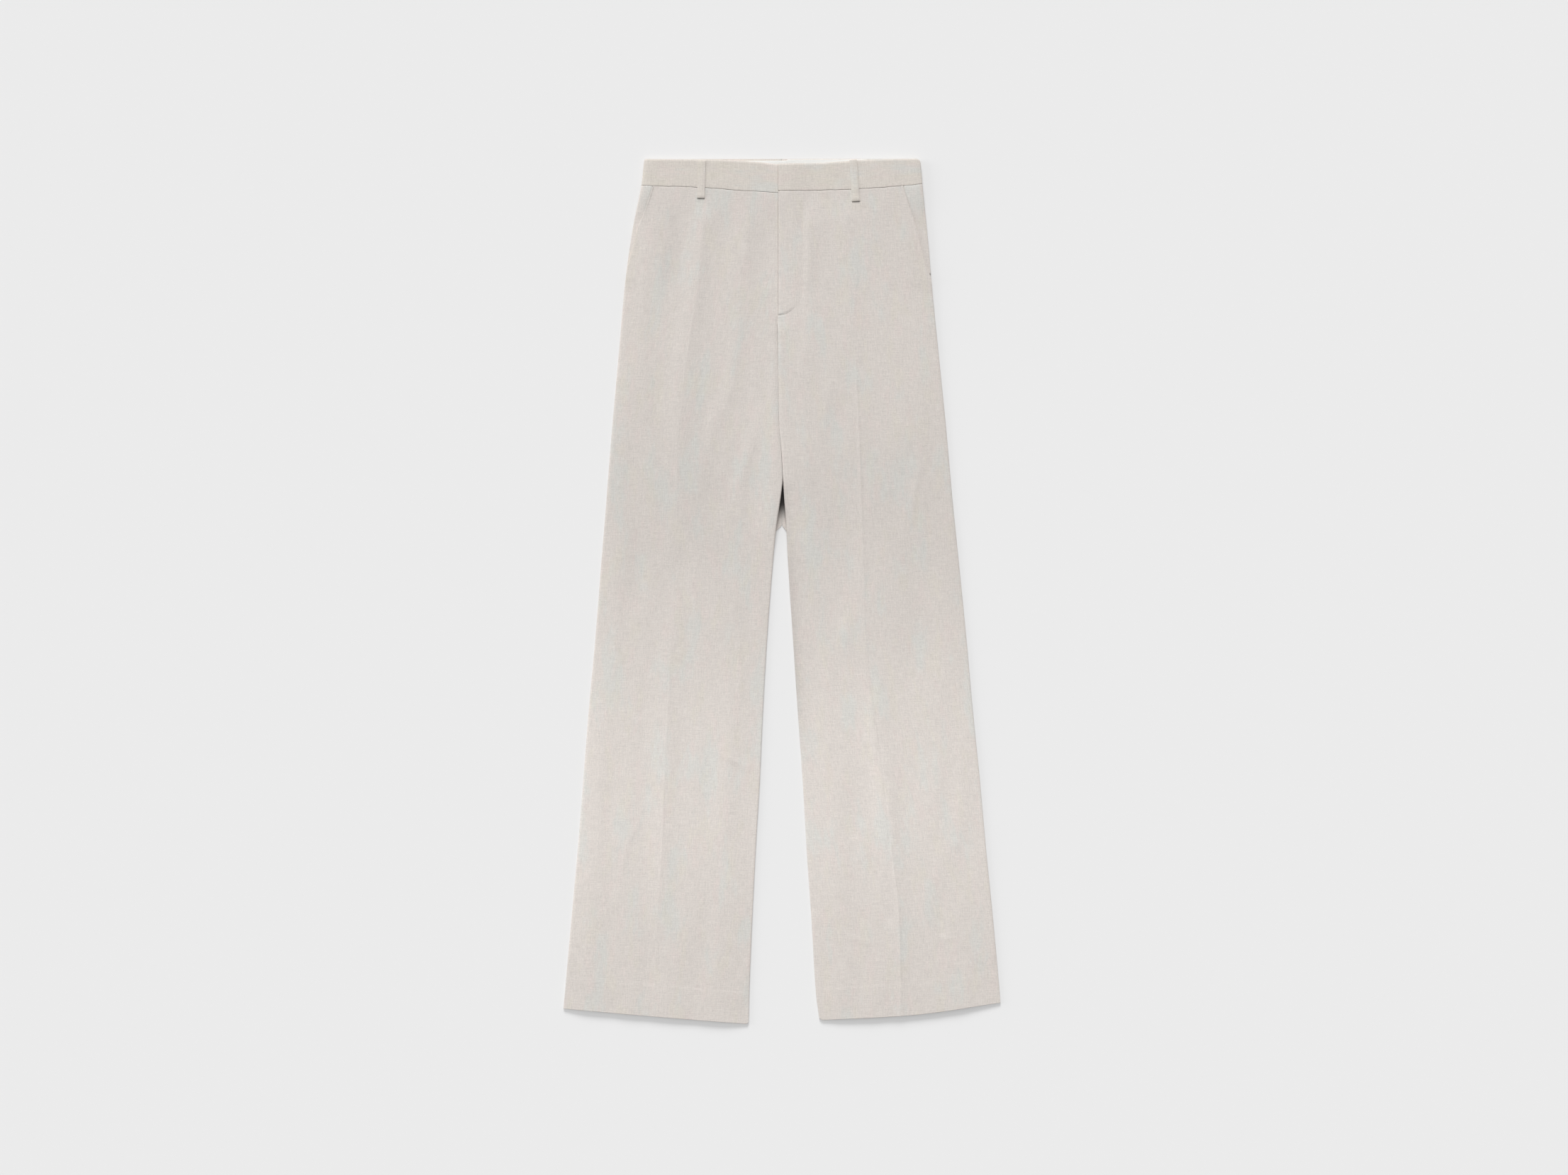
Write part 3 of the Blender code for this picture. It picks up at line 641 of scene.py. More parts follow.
print("the right knee's tone is", round(1 - float(painted_shade_of("right", -130.0, 0.0)), 3))

# %% [markdown]
# ## Colours and materials
#
# The cloth is a plain-woven blend of linen and viscose: flax yarn is spun uneven, so thicker and thinner
# stretches, called slubs, show as short streaks along both threads. A node tree on the cloth's own UV
# map draws them, because the weave has to run along the crease of each leg. The UV map is in metres.

# %% Colours and one function that adds a node
def linear(hex_colour):
    """An sRGB hex colour as the linear RGBA that a shader takes."""
    channels = [int(hex_colour[i : i + 2], 16) / 255 for i in (1, 3, 5)]
    return [c / 12.92 if c <= 0.04045 else ((c + 0.055) / 1.055) ** 2.4 for c in channels] + [1.0]


def add(tree, kind, settings=None, inputs=None):
    """Adds a node, sets its properties, and sets or links its inputs by name or index."""
    node = tree.nodes.new(kind)
    for name, value in (settings or {}).items():
        setattr(node, name, value)
    for key, value in (inputs or {}).items():
        if isinstance(value, bpy.types.NodeSocket):
            tree.links.new(value, node.inputs[key])
        else:
            node.inputs[key].default_value = value
    return node


def empty_material(name):
    """A material with an empty node tree."""
    material = bpy.data.materials.new(name)
    material.use_nodes = True
    material.node_tree.nodes.clear()
    return material


print("sRGB #808080 is", round(linear("#808080")[0], 3), "in linear light")

# %% [markdown]
# ## Linen
#
# Linen blend, plain weave, softly pressed: matte, with a faint sheen where the light grazes it. In such a
# cloth the yarns lie about 0.5 mm apart, too fine to show from here, so they are drawn coarser, 0.9 mm
# apart, as an over-and-under height pattern. The slubs are 1 mm thick and 4 to 16 mm long, a shade darker
# or paler than the rest. Wider, very faint clouds of grey-green, straw and pink come from the flax itself.

# %% Linen
THREAD_PITCH = 0.0009                 # metres, as all sizes in a material are
LONG_SLUB = (0.0012, 0.016, 1.0)      # width, length and detail
SHORT_SLUB = (0.0009, 0.004, 2.0)
CLOUD_STRETCH = (1.0, 0.35, 1.0)      # clouds are about three times as long as wide
CLOUD_EDGE = (0.52, 0.7)              # where in its noise a cloud begins and is full
YARN_RANGE = (0.72, 1.28)             # where in the streaks' noise the yarn is thinnest and thickest


def maths(tree, operation, *values):
    """Adds a math node and gives its output."""
    return add(tree, "ShaderNodeMath", {"operation": operation}, dict(enumerate(values))).outputs[0]


def streaks(tree, uv, wide, long, detail):
    """Noise drawn out across and along the cloth: one streaky field for the weft and one for the warp."""
    fields = []
    for scale in ((1 / long, 1 / wide, 1), (1 / wide, 1 / long, 1)):
        drawn = add(tree, "ShaderNodeMapping", inputs={"Vector": uv, "Scale": scale}).outputs[0]
        fields.append(add(
            tree, "ShaderNodeTexNoise", {"noise_dimensions": "2D"},
            {"Vector": drawn, "Scale": 1.0, "Detail": detail, "Roughness": 0.6},
        ).outputs["Fac"])
    return maths(tree, "ADD", *fields)


def plain_weave(tree, uv, pitch):
    """Height of a plain weave from 0 to 1: each thread goes over one and under the next."""
    wander = add(
        tree, "ShaderNodeTexNoise", {"noise_dimensions": "2D"},
        {"Vector": uv, "Scale": 1 / (9 * pitch), "Detail": 1.0},
    ).outputs["Color"]
    shift = add(
        tree, "ShaderNodeVectorMath", {"operation": "SCALE"}, {0: wander, "Scale": pitch}
    ).outputs[0]
    moved = add(tree, "ShaderNodeVectorMath", {"operation": "ADD"}, {0: uv, 1: shift}).outputs[0]
    place = add(tree, "ShaderNodeSeparateXYZ", inputs={0: moved})
    waves = [maths(tree, "SINE", maths(tree, "MULTIPLY", place.outputs[i], math.pi / pitch)) for i in (0, 1)]
    ridges = [maths(tree, "ABSOLUTE", wave) for wave in waves]
    over = maths(tree, "MULTIPLY", maths(tree, "MULTIPLY", *waves), 0.35)
    warp = maths(tree, "ADD", maths(tree, "MULTIPLY", ridges[0], 0.65), over)
    weft = maths(tree, "SUBTRACT", maths(tree, "MULTIPLY", ridges[1], 0.65), over)
    return maths(tree, "MAXIMUM", warp, weft)


def mixed(tree, blend, share, first, second):
    """Adds a colour mix and gives its output."""
    return add(
        tree, "ShaderNodeMix", {"data_type": "RGBA", "blend_type": blend}, {0: share, 6: first, 7: second}
    ).outputs[2]


def clouded(tree, uv, colour, clouds):
    """The colour with faint clouds over it. A cloud is its hex colour, size, place and strength."""
    for hex_colour, size, offset, strength in clouds:
        moved = add(
            tree, "ShaderNodeMapping",
            inputs={"Vector": uv, "Location": (offset, offset, 0), "Scale": CLOUD_STRETCH},
        ).outputs[0]
        cloud = add(
            tree, "ShaderNodeTexNoise", {"noise_dimensions": "2D"},
            {"Vector": moved, "Scale": 1 / size, "Detail": 3.0, "Roughness": 0.6},
        ).outputs["Fac"]
        share = add(
            tree, "ShaderNodeMapRange", {"interpolation_type": "SMOOTHSTEP"},
            {0: cloud, 1: CLOUD_EDGE[0], 2: CLOUD_EDGE[1], 4: strength},
        ).outputs[0]
        colour = mixed(tree, "MIX", share, colour, linear(hex_colour))
    return colour


def slubby_yarn(tree, uv):
    """A field from 0 to 1 of thicker and thinner yarn."""
    long_slubs, short_slubs = streaks(tree, uv, *LONG_SLUB), streaks(tree, uv, *SHORT_SLUB)
    both = maths(
        tree, "ADD", maths(tree, "MULTIPLY", long_slubs, 0.45), maths(tree, "MULTIPLY", short_slubs, 0.55)
    )
    return add(tree, "ShaderNodeMapRange", inputs={0: both, 1: YARN_RANGE[0], 2: YARN_RANGE[1]}).outputs[0]


def woven_material(name, hue, clouds, tones, pitch, slub_bump):
    """hue is the cloth's colour, clouds are faint other hues, tones are the factors of the darkest and the
    palest yarn. The mesh's shade attribute is painted light and shade: it darkens the whole, or lightens it
    where negative."""
    material = empty_material(name)
    tree = material.node_tree
    uv = add(tree, "ShaderNodeUVMap", {"uv_map": "cloth"}).outputs[0]
    colour = clouded(tree, uv, linear(hue), clouds)
    yarn = slubby_yarn(tree, uv)
    tone = add(tree, "ShaderNodeMapRange", inputs={0: yarn, 3: tones[0], 4: tones[1]}).outputs[0]
    # painted light and shade from the mesh, multiplied into the colour
    shade = add(tree, "ShaderNodeAttribute", {"attribute_name": "shade"}).outputs["Fac"]
    tone = maths(tree, "MULTIPLY", tone, maths(tree, "SUBTRACT", 1.0, shade))
    grey = add(tree, "ShaderNodeCombineColor", inputs={0: tone, 1: tone, 2: tone}).outputs[0]
    colour = mixed(tree, "MULTIPLY", 1.0, colour, grey)
    weave = plain_weave(tree, uv, pitch)
    fine = add(
        tree, "ShaderNodeBump", inputs={"Strength": 0.5, "Distance": 0.0001, "Height": weave}
    ).outputs[0]
    coarse = add(
        tree, "ShaderNodeBump",
        inputs={"Strength": slub_bump, "Distance": 0.00012, "Height": yarn, "Normal": fine},
    ).outputs[0]
    shader = add(
        tree, "ShaderNodeBsdfPrincipled",
        inputs={
            "Base Color": colour, "Roughness": 0.88, "Specular IOR Level": 0.2,
            "Sheen Weight": 0.1, "Sheen Roughness": 0.45, "Normal": coarse,
        },
    )
    add(tree, "ShaderNodeOutputMaterial", inputs={"Surface": shader.outputs[0]})
    return material


LINEN_WEAVE = {
    "clouds": (
        ("#D8D7D2", 0.032, 3.1, 0.8), ("#DCD6C8", 0.02, 7.7, 0.3), ("#E0D3CE", 0.016, 12.3, 0.35),
    ),
    "tones": (0.9, 1.1), "pitch": THREAD_PITCH, "slub_bump": 0.4,
}
LINEN = woven_material("linen blend, plain woven", hue="#DCD5CF", **LINEN_WEAVE)
# the waistband and the loops are cut from a slightly warmer length of the same cloth
BAND_LINEN = woven_material("linen blend, a warmer length for the waistband", hue="#DCD5CD", **LINEN_WEAVE)
# fine bleached cotton: its threads are too fine to show, so it looks nearly smooth
LINING_COTTON = woven_material(
    "lining cotton, fine plain woven", hue="#EEEEEB", clouds=(), tones=(0.98, 1.02), pitch=0.0003,
    slub_bump=0.05,
)
print("woven materials:", "; ".join(material.name for material in (LINEN, BAND_LINEN, LINING_COTTON)))

# %% [markdown]
# ## A wall of cloth
#
# A cut piece is a grid of points, close together where it bends. Solidify could give it a wall, but here
# the wall changes, as it does at a hem, so the second face is laid along the normals by hand, and the cut
# or folded edge is rounded with one more ring of points.

# %% A wall of cloth
def normals_of(points):
    """Unit normals of the grid, pointing up."""
    across = np.gradient(points, axis=1)
    up = np.gradient(points, axis=0)
    normal = np.cross(across, up)
    return normal / np.linalg.norm(normal, axis=2, keepdims=True)


def ring_of(rows, columns):
    """Grid places round the edge, anticlockwise from the lower left."""
    low = [(0, c) for c in range(columns)]
    right = [(r, columns - 1) for r in range(1, rows)]
    high = [(rows - 1, c) for c in range(columns - 2, -1, -1)]
    left = [(r, 0) for r in range(rows - 2, 0, -1)]
    return np.array(low + right + high + left)


def wall_of_cloth(name, points, thickness, uv, material, below=True, bulge=0.06, drop=0.0, shade=0.0):
    """A closed mesh. points is rows x columns x 3 in millimetres, seen from above with x to the right and
    y up. The wall goes under the points, or over them if below is False. drop makes it reach further down,
    and shade is the painted shade: how much darker than the rest the cloth is painted."""
    rows, columns, _ = points.shape
    thickness = np.broadcast_to(thickness, (rows, columns))[..., None]
    other = points - normals_of(points) * thickness * (1 if below else -1)
    other[..., 2] -= drop
    upper, lower = (points, other) if below else (other, points)
    ring = ring_of(rows, columns)
    next_in = np.clip(ring, 1, [rows - 2, columns - 2])
    edge_upper, edge_lower = upper[ring[:, 0], ring[:, 1]], lower[ring[:, 0], ring[:, 1]]
    outward = edge_upper - upper[next_in[:, 0], next_in[:, 1]]
    outward[:, 2] = 0
    outward /= np.linalg.norm(outward, axis=1, keepdims=True)
    middle = (edge_upper + edge_lower) / 2 + outward * thickness[ring[:, 0], ring[:, 1]] * bulge
    index = np.arange(rows * columns).reshape(rows, columns)
    quads = np.stack([index[:-1, :-1], index[:-1, 1:], index[1:, 1:], index[1:, :-1]], axis=-1).reshape(-1, 4)
    count = rows * columns
    rim = index[ring[:, 0], ring[:, 1]]
    after = np.roll(rim, -1)
    bead = 2 * count + np.arange(len(ring))
    bead_after = np.roll(bead, -1)
    faces = np.concatenate([
        quads,
        quads[:, ::-1] + count,
        np.stack([rim, bead, bead_after, after], axis=1),
        np.stack([bead, rim + count, after + count, bead_after], axis=1),
    ])
    vertices = np.concatenate([upper.reshape(-1, 3), lower.reshape(-1, 3), middle]) * MM
    mesh = bpy.data.meshes.new(name)
    mesh.from_pydata(vertices.tolist(), [], faces.tolist())
    uv = uv.reshape(-1, 2) * MM
    per_vertex = np.concatenate([uv, uv, uv[rim]])
    layer = mesh.uv_layers.new(name="cloth")
    corners = np.empty(len(mesh.loops), np.int32)
    mesh.loops.foreach_get("vertex_index", corners)
    layer.data.foreach_set("uv", per_vertex[corners].ravel().astype(np.float32))
    # the shade attribute holds painted light and shade
    shade = np.broadcast_to(shade, (rows, columns)).ravel()
    shade = np.concatenate([shade, shade, shade[rim]]).astype(np.float32)
    mesh.attributes.new("shade", "FLOAT", "POINT").data.foreach_set("value", shade)
    mesh.materials.append(material)
    mesh.shade_smooth()
    piece = bpy.data.objects.new(name, mesh)
    bpy.context.collection.objects.link(piece)
    return piece


def area_of(points):
    """Area of the grid in square metres."""
    first = np.cross(points[:-1, 1:] - points[:-1, :-1], points[1:, 1:] - points[:-1, :-1])
    second = np.cross(points[1:, 1:] - points[:-1, :-1], points[1:, :-1] - points[:-1, :-1])
    return float(np.linalg.norm(first, axis=2).sum() + np.linalg.norm(second, axis=2).sum()) / 2 * MM**2


print("a wall is two faces and two rows of rim faces")

# %% [markdown]
# ## Spacing the grid
#
# Across a panel, the points crowd where the cloth turns over the edge, on the crease and on the fly
# stitching. Down it, they crowd at the waist seam, round the foot of the fly and at the hem. A plain
# subdivision would spend the same points on the flat middle, where nothing bends.

# %% Spacing the grid
EDGE_STEPS = (0.0, 0.3, 0.9, 1.8, 3.0, 4.8, 7.5, 11.0)
TRENCH_STEPS = (0.6, 0.26, 0.2, 0.14, 0.1, -0.4)   # from the centre front towards the wearer's right
CREASE_STEPS = (-6.0, -3.5, -1.8, -0.8, 0.0, 0.8, 1.8, 3.5, 6.0)
FLY_STEPS = (-3.2, -2.0, -1.2, -0.6, 0.0, 0.6, 1.2, 2.0, 3.2)
SPACING = 3.1
WAIST_ROW, HEM_ROW = 520.0, -552.0         # levels of the top and the bottom row before they are bent
WAIST_BLEND, HEM_BLEND = 440.0, -450.0     # rows are bent from here on
TURNS = 4                                  # rounds in which columns and rows settle


def evenly(start, end, spacing):
    """Values from start to end, about this far apart."""
    return np.linspace(start, end, max(2, int(round(abs(end - start) / spacing)) + 1))


def front_levels():
    """Levels of the grid's rows from the hem up, as if the hem and the waist seam were straight."""
    marks = ((HEM_ROW, 0.6), (-549.0, 1.5), (-540.0, 3.0), (-512.5, 1.0), (-508.5, SPACING), (346.0, 0.9),
             (384.0, SPACING), (494.0, 0.5), (508.0, 1.5), (513.0, 0.7), (WAIST_ROW, 0.7))
    rows = [evenly(low, high, gap)[:-1] for (low, gap), (high, _) in zip(marks, marks[1:])]
    return np.concatenate(rows + [[WAIST_ROW]])


def across(stops, gaps):
    """Columns through the stops, one array of x for each. gaps says how many parts each gap has."""
    stops = np.broadcast_arrays(*stops)
    columns = [stops[0]]
    for low, high, parts in zip(stops, stops[1:], gaps):
        columns += [low + (high - low) * k / parts for k in range(1, parts + 1)]
    return np.stack(columns, axis=-1)


def own_column(table):
    """From the columns worked out at every point's level, each point's own."""
    return np.take_along_axis(table, np.arange(table.shape[1])[None, :, None], axis=2)[..., 0]


def edge_distance(leg, x, y):
    """Distance of each point from the nearer edge of its leg."""
    return np.minimum(abs(x - line("outer", leg, y)), abs(x - line("inner", leg, y)))


def bent_levels(leg, x, nominal):
    """Straight rows, bent near the waist seam and the hem to follow them."""
    seam_x = np.minimum(x, CENTRE_FRONT) if leg == "right" else x
    to_seam = waist_seam(leg, seam_x) - seam_gap(leg, x) - WAIST_ROW
    inside = np.clip(HEM_CORNER - edge_distance(leg, x, nominal), 0.0, HEM_CORNER)
    to_hem = column(HEM[leg], "y", x, "x") - HEM_ROW + HEM_CORNER - np.sqrt(HEM_CORNER**2 - inside**2)
    at_waist = np.clip((nominal - WAIST_BLEND) / (WAIST_ROW - WAIST_BLEND), 0.0, 1.0)
    at_hem = np.clip((HEM_BLEND - nominal) / (HEM_BLEND - HEM_ROW), 0.0, 1.0)
    return nominal + to_seam * at_waist + to_hem * at_hem


def panel_grid(leg, levels, columns_at):
    """x and y of a panel's grid. columns_at(leg, y) gives the columns at any levels. The columns depend on y
    and the bent rows on x, so the two are worked out in turn until they settle."""
    shape = (len(levels), columns_at(leg, levels).shape[1])
    nominal = np.broadcast_to(levels[:, None], shape)
    y = nominal
    for _ in range(TURNS):
        x = own_column(columns_at(leg, y))
        y = bent_levels(leg, x, nominal)
    return x, y


print("a front panel has", len(front_levels()), "rows")

# %% [markdown]
# ## Front panels
#
# Each front is one cut piece from the waist seam to the hem. Its outer edge is the pocket mouth as far as
# that goes, and the side seam below it. The left one laps over the right along the fly.

# %% Front panels
LEG_SHIFT = 500.0      # the two legs are cut this far apart on the bolt, so that their yarns differ
BOLT_PLACE = {"front": 0.0, "back": 1200.0, "facing": 2400.0, "band front": 3000.0, "band back": 3100.0}


def front_columns(leg, y):
    """Columns of a front panel at each row's level, from the wearer's right to the wearer's left."""
    outer, crease, inner = (line(name, leg, y) for name in ("outer", "crease", "inner"))
    outer = np.where(y > POCKET_END, column(POCKET_MOUTH, leg, y, "y"), outer)
    lapped = ramp(y, FLY_END - 12, FLY_END + 8)
    inward = LEGS[leg]
    # above the crotch the two fronts are sewn edge to edge
    middle = (line("inner", "right", y) + line("inner", "left", y)) / 2
    apart = SEAM + 0.16 * ramp(y, CROTCH, PARTING)
    inner = np.where(y > PARTING, middle - inward * np.minimum(apart, abs(inner - middle) + SEAM), inner)
    under_lap = FLY_UNDERLAP if leg == "right" else 0.0
    inner = inner + (CENTRE_FRONT + under_lap - inner) * lapped
    stops = [outer + inward * step for step in EDGE_STEPS]
    stops += [crease + inward * step for step in CREASE_STEPS]
    gaps = [1] * 7 + [30] + [1] * 8
    if leg == "left":
        stops += [inner + FLY_WIDTH + step for step in reversed(FLY_STEPS)]
        stops += [inner - inward * step for step in reversed(EDGE_STEPS)]
        gaps += [22] + [1] * 8 + [8] + [1] * 7
    else:
        # where the right front goes under the left one, its last columns crowd at the edge that covers them
        under_steps = FLY_UNDERLAP + np.array([8.0, *TRENCH_STEPS, -FLY_UNDERLAP])
        stops += [
            inner - flat * (1 - lapped) - under * lapped
            for flat, under in zip(reversed(EDGE_STEPS), under_steps)
        ]
        gaps += [38] + [1] * 7
    return across(stops[::inward], gaps[::inward])


FRONTS = {}
for number, leg in enumerate(LEGS):
    x, y = panel_grid(leg, front_levels(), front_columns)
    points = np.stack([x, y, front_top(leg, x, y)], axis=-1)
    uv = np.stack([x - line("crease", leg, y) + LEG_SHIFT * number + BOLT_PLACE["front"], y], axis=-1)
    FRONTS[leg] = wall_of_cloth(
        f"linen_front_{leg}", points, front_wall(leg, x, y), uv, LINEN,
        drop=seam_drop(leg, x, y), shade=painted_shade_of(leg, x, y),
    )
    print(f"front {leg}:", len(FRONTS[leg].data.polygons), "faces,", round(area_of(points), 3), "m2")

# %% [markdown]
# ## Back panels
#
# The backs lie flat on the table and only show between the legs and from the side. Their edges turn up a
# little towards the side seam and the inseam. They meet in the centre back seam and part lower down than
# the fronts do, so that a stretch of the back shows there, under the crotch, darkened by painted shade.

# %% Back panels
CURL, CURL_REACH = 0.35, 4.0
CURL_STEPS = (0.0, 0.6, 1.5, 2.6, CURL_REACH)
PAINTED_CROTCH_SHADE = 0.93          # painted shade between the legs at the crotch, where hardly any light gets in
PAINTED_CROTCH_SHADE_FROM, PAINTED_CROTCH_SHADE_TO = BACK_PARTING + 2, BACK_PARTING + 29


def back_columns(leg, y):
    """Columns of a back panel at each row's level, from the wearer's right to the wearer's left."""
    inward = LEGS[leg]
    inner = np.maximum(-inward * line("inner", leg, y), SEAM)
    inner = -inward * (SEAM + (inner - SEAM) * ramp(y, BACK_PARTING + 2, BACK_PARTING - 8))
    outer = line("outer", leg, y)
    stops = [outer + inward * step for step in CURL_STEPS] + [line("crease", leg, y)]
    stops += [inner - inward * step for step in reversed(CURL_STEPS)]
    gaps = [1] * 4 + [16, 16] + [1] * 4
    return across(stops[::inward], gaps[::inward])


def back_levels():
    """Every second row of the front, and closer rows where the backs part."""
    levels = np.union1d(front_levels()[:-1:2], evenly(BACK_PARTING - 8, BACK_PARTING + 2, 1.0))
    return np.append(levels, WAIST_ROW)


BACKS = {}
for number, leg in enumerate(LEGS):
    x, y = panel_grid(leg, back_levels(), back_columns)
    curl = CURL * np.clip(1 - edge_distance(leg, x, y) / CURL_REACH, 0, 1) ** 2
    points = np.stack([x, y, back_lift(y) + curl], axis=-1)
    uv = np.stack([x - line("crease", leg, y) + LEG_SHIFT * number + BOLT_PLACE["back"], y], axis=-1)
    # painted shade on the back, between the legs just under the crotch
    dark = PAINTED_CROTCH_SHADE * ramp(y, PAINTED_CROTCH_SHADE_FROM, PAINTED_CROTCH_SHADE_TO) * ramp(abs(x), 30.0, 12.0)
    BACKS[leg] = wall_of_cloth(f"linen_back_{leg}", points, CLOTH, uv, LINEN, below=False, shade=dark)
    print(f"back {leg}:", len(BACKS[leg].data.polygons), "faces,", round(area_of(points), 3), "m2")

# %% [markdown]
# ## Pocket side pieces
#
# Behind each slanted mouth lies the side piece of the pocket, cut from the same linen. It is sewn into the
# waist seam and the side seam and goes a little way under the front.

# %% Pocket side pieces
FACING_STEPS = (0.0, 0.5, 1.5, 3.0)
FACING_SPACING = 2.5


def facing_columns(leg, y):
    """Columns of a side piece, from the side seam to its edge under the front."""
    inward = LEGS[leg]
    under = 3.0 + (POCKET_UNDERLAP - 3.0) * ramp(y, POCKET_END + 8, POCKET_END + 45)
    stops = [line("outer", leg, y) + inward * step for step in FACING_STEPS]
    stops += [column(POCKET_MOUTH, leg, y, "y") + inward * under]
    return across(stops[::inward], [1, 1, 1, 21][::inward])


FACINGS = {}
for number, leg in enumerate(LEGS):
    levels = evenly(POCKET_END + FACING_SPACING, 519.0, FACING_SPACING)
    levels = np.append(levels, (519.5, 519.8, WAIST_ROW))
    x, y = panel_grid(leg, levels, facing_columns)
    points = np.stack([x, y, facing_top(leg, x, y) - waist_dip(leg, x, y)], axis=-1)
    uv = np.stack([x + LEG_SHIFT * number + BOLT_PLACE["facing"], y], axis=-1)
    FACINGS[leg] = wall_of_cloth(
        f"linen_pocket_facing_{leg}", points, CLOTH, uv, LINEN, shade=painted_shade_of(leg, x, y)
    )
    print(f"pocket side piece {leg}:", len(FACINGS[leg].data.polygons), "faces")

# %% [markdown]
# ## Waistband
#
# The waistband is doubled and stiffened, so it lies smoother than the legs. Its top edge is a fold. The
# front half dips at the centre front, which is why the white lining of the back half shows above it.

# %% Waistband
BAND_SHARES = (0.0, 0.012, 0.03, 0.06, *np.linspace(0.12, 0.9, 11), 0.94, 0.965, 0.985, 0.995, 1.0)
BAND_END_STEPS = (0.0, 0.4, 1.0, 2.0, 3.5, 6.0, BAND_SHOULDER)
BAND_LAP_STEPS = (8.0, 3.0, 1.8, 0.9, 0.3, 0.15, 0.05, 0.0)   # from the lapped end of the left half
BACK_BAND_STEPS = (0.0, 0.6, 1.8, 4.0)
FIRST_GUESS = (515.0, 35.0)   # level of the waist seam and depth of the band, before they are worked out


def corner_drop(leg, x, y):
    """How far the waistband's top edge is rounded off at its outer corner."""
    radius = CORNER[leg]
    inside = np.clip(radius - abs(x - line("outer", leg, y)), 0.0, radius)
    return radius - np.sqrt(radius**2 - inside**2)


def back_edge(x):
    """Level of the back half's top edge."""
    return np.interp(x, (-176, 176), (BACK_TOP["right"], BACK_TOP["left"]))


def front_band_columns(leg, y):
    """Columns of a front half. The right half goes a little way under the left one."""
    outer, inward = line("outer", leg, y), LEGS[leg]
    if leg == "right":
        ends = [CENTRE_FRONT - step for step in (8.0, *TRENCH_STEPS, -BAND_UNDERLAP)]
    else:
        ends = [CENTRE_FRONT + step for step in BAND_LAP_STEPS]
    stops = [outer + inward * step for step in BAND_END_STEPS] + [np.full_like(outer, end) for end in ends]
    return across(stops[::inward], ([1] * 6 + [50] + [1] * 7)[::inward])


def front_low(leg, x):
    """Level of a front half's lower edge."""
    return waist_seam(leg, x) + seam_gap(leg, x)


def front_high(leg, x, y):
    """Level of a front half's top edge."""
    return column(WAIST[leg], "top", x, "x") - corner_drop(leg, x, y)


def back_band_columns(leg, y):
    """Columns of a back half, from its outer corner to the centre back seam."""
    inward = LEGS[leg]
    stops = [line("outer", leg, y) + inward * step for step in BACK_BAND_STEPS]
    stops += [-inward * 8.0, -inward * SEAM]
    return across(stops[::inward], [1, 1, 1, 30, 3][::inward])


def back_low(leg, x):
    """Level of a back half's lower edge. Near the centre both halves end at the same level."""
    low = waist_seam(leg, x) + SEAM
    return np.where(abs(x) < 60, np.maximum(low, waist_seam("left", x) + SEAM), low)


def back_high(leg, x, y):
    """Level of a back half's top edge."""
    return back_edge(x) - corner_drop(leg, x, y)


def band_grid(leg, columns_at, low_at, high_at):
    """x and y of a waistband half between its two edges, worked out in turn like a panel's."""
    share = np.array(BAND_SHARES)[:, None]
    first = FIRST_GUESS[0] + FIRST_GUESS[1] * share
    y = np.broadcast_to(first, (len(share), columns_at(leg, first).shape[-1]))
    for _ in range(TURNS):
        x = own_column(columns_at(leg, y))
        low = low_at(leg, x)
        y = low + (high_at(leg, x, y) - low) * share
    return x, y


BANDS = {}
band_shapes = {}
for number, leg in enumerate(LEGS):
    x, y = band_grid(leg, front_band_columns, front_low, front_high)
    from_seam, from_top = y - waist_seam(leg, x), front_high(leg, x, y) - y
    z = band_top(leg, x, y) - 0.2 * bell(from_seam, 0.6) - 0.5 * bell(from_top, 1.0)
    points = np.stack([x, y, z], axis=-1)
    uv = np.stack([from_seam + BOLT_PLACE["band front"], x + LEG_SHIFT * number], axis=-1)
    # the right half thins where it goes under the left one
    wall = BAND - 1.3 * bell(x - CENTRE_FRONT + 0.15, 0.8) * (leg == "right")
    piece = wall_of_cloth(
        f"linen_waistband_front_{leg}", points, wall, uv, BAND_LINEN, shade=painted_shade_of(leg, x, y)
    )
    BANDS[f"waistband_front_{leg}"], band_shapes[f"waistband_front_{leg}"] = piece, points

    x, y = band_grid(leg, back_band_columns, back_low, back_high)
    curl = 0.3 * np.clip(1 - abs(x - line("outer", leg, y)) / 4.0, 0, 1) ** 2
    points = np.stack([x, y, BAND_LIFT + curl], axis=-1)
    uv = np.stack([y + BOLT_PLACE["band back"], x + LEG_SHIFT * number], axis=-1)
    piece = wall_of_cloth(f"linen_waistband_back_{leg}", points, BACK_BAND, uv, BAND_LINEN, below=False)
    BANDS[f"waistband_back_{leg}"], band_shapes[f"waistband_back_{leg}"] = piece, points
print("waistband pieces:", ", ".join(BANDS))

# %% [markdown]
# ## Lining of the back waistband
#
# A strip of white cotton finishes the inside of the waistband. Only its top few millimetres show, with a
# step at the centre back where its two ends are joined.

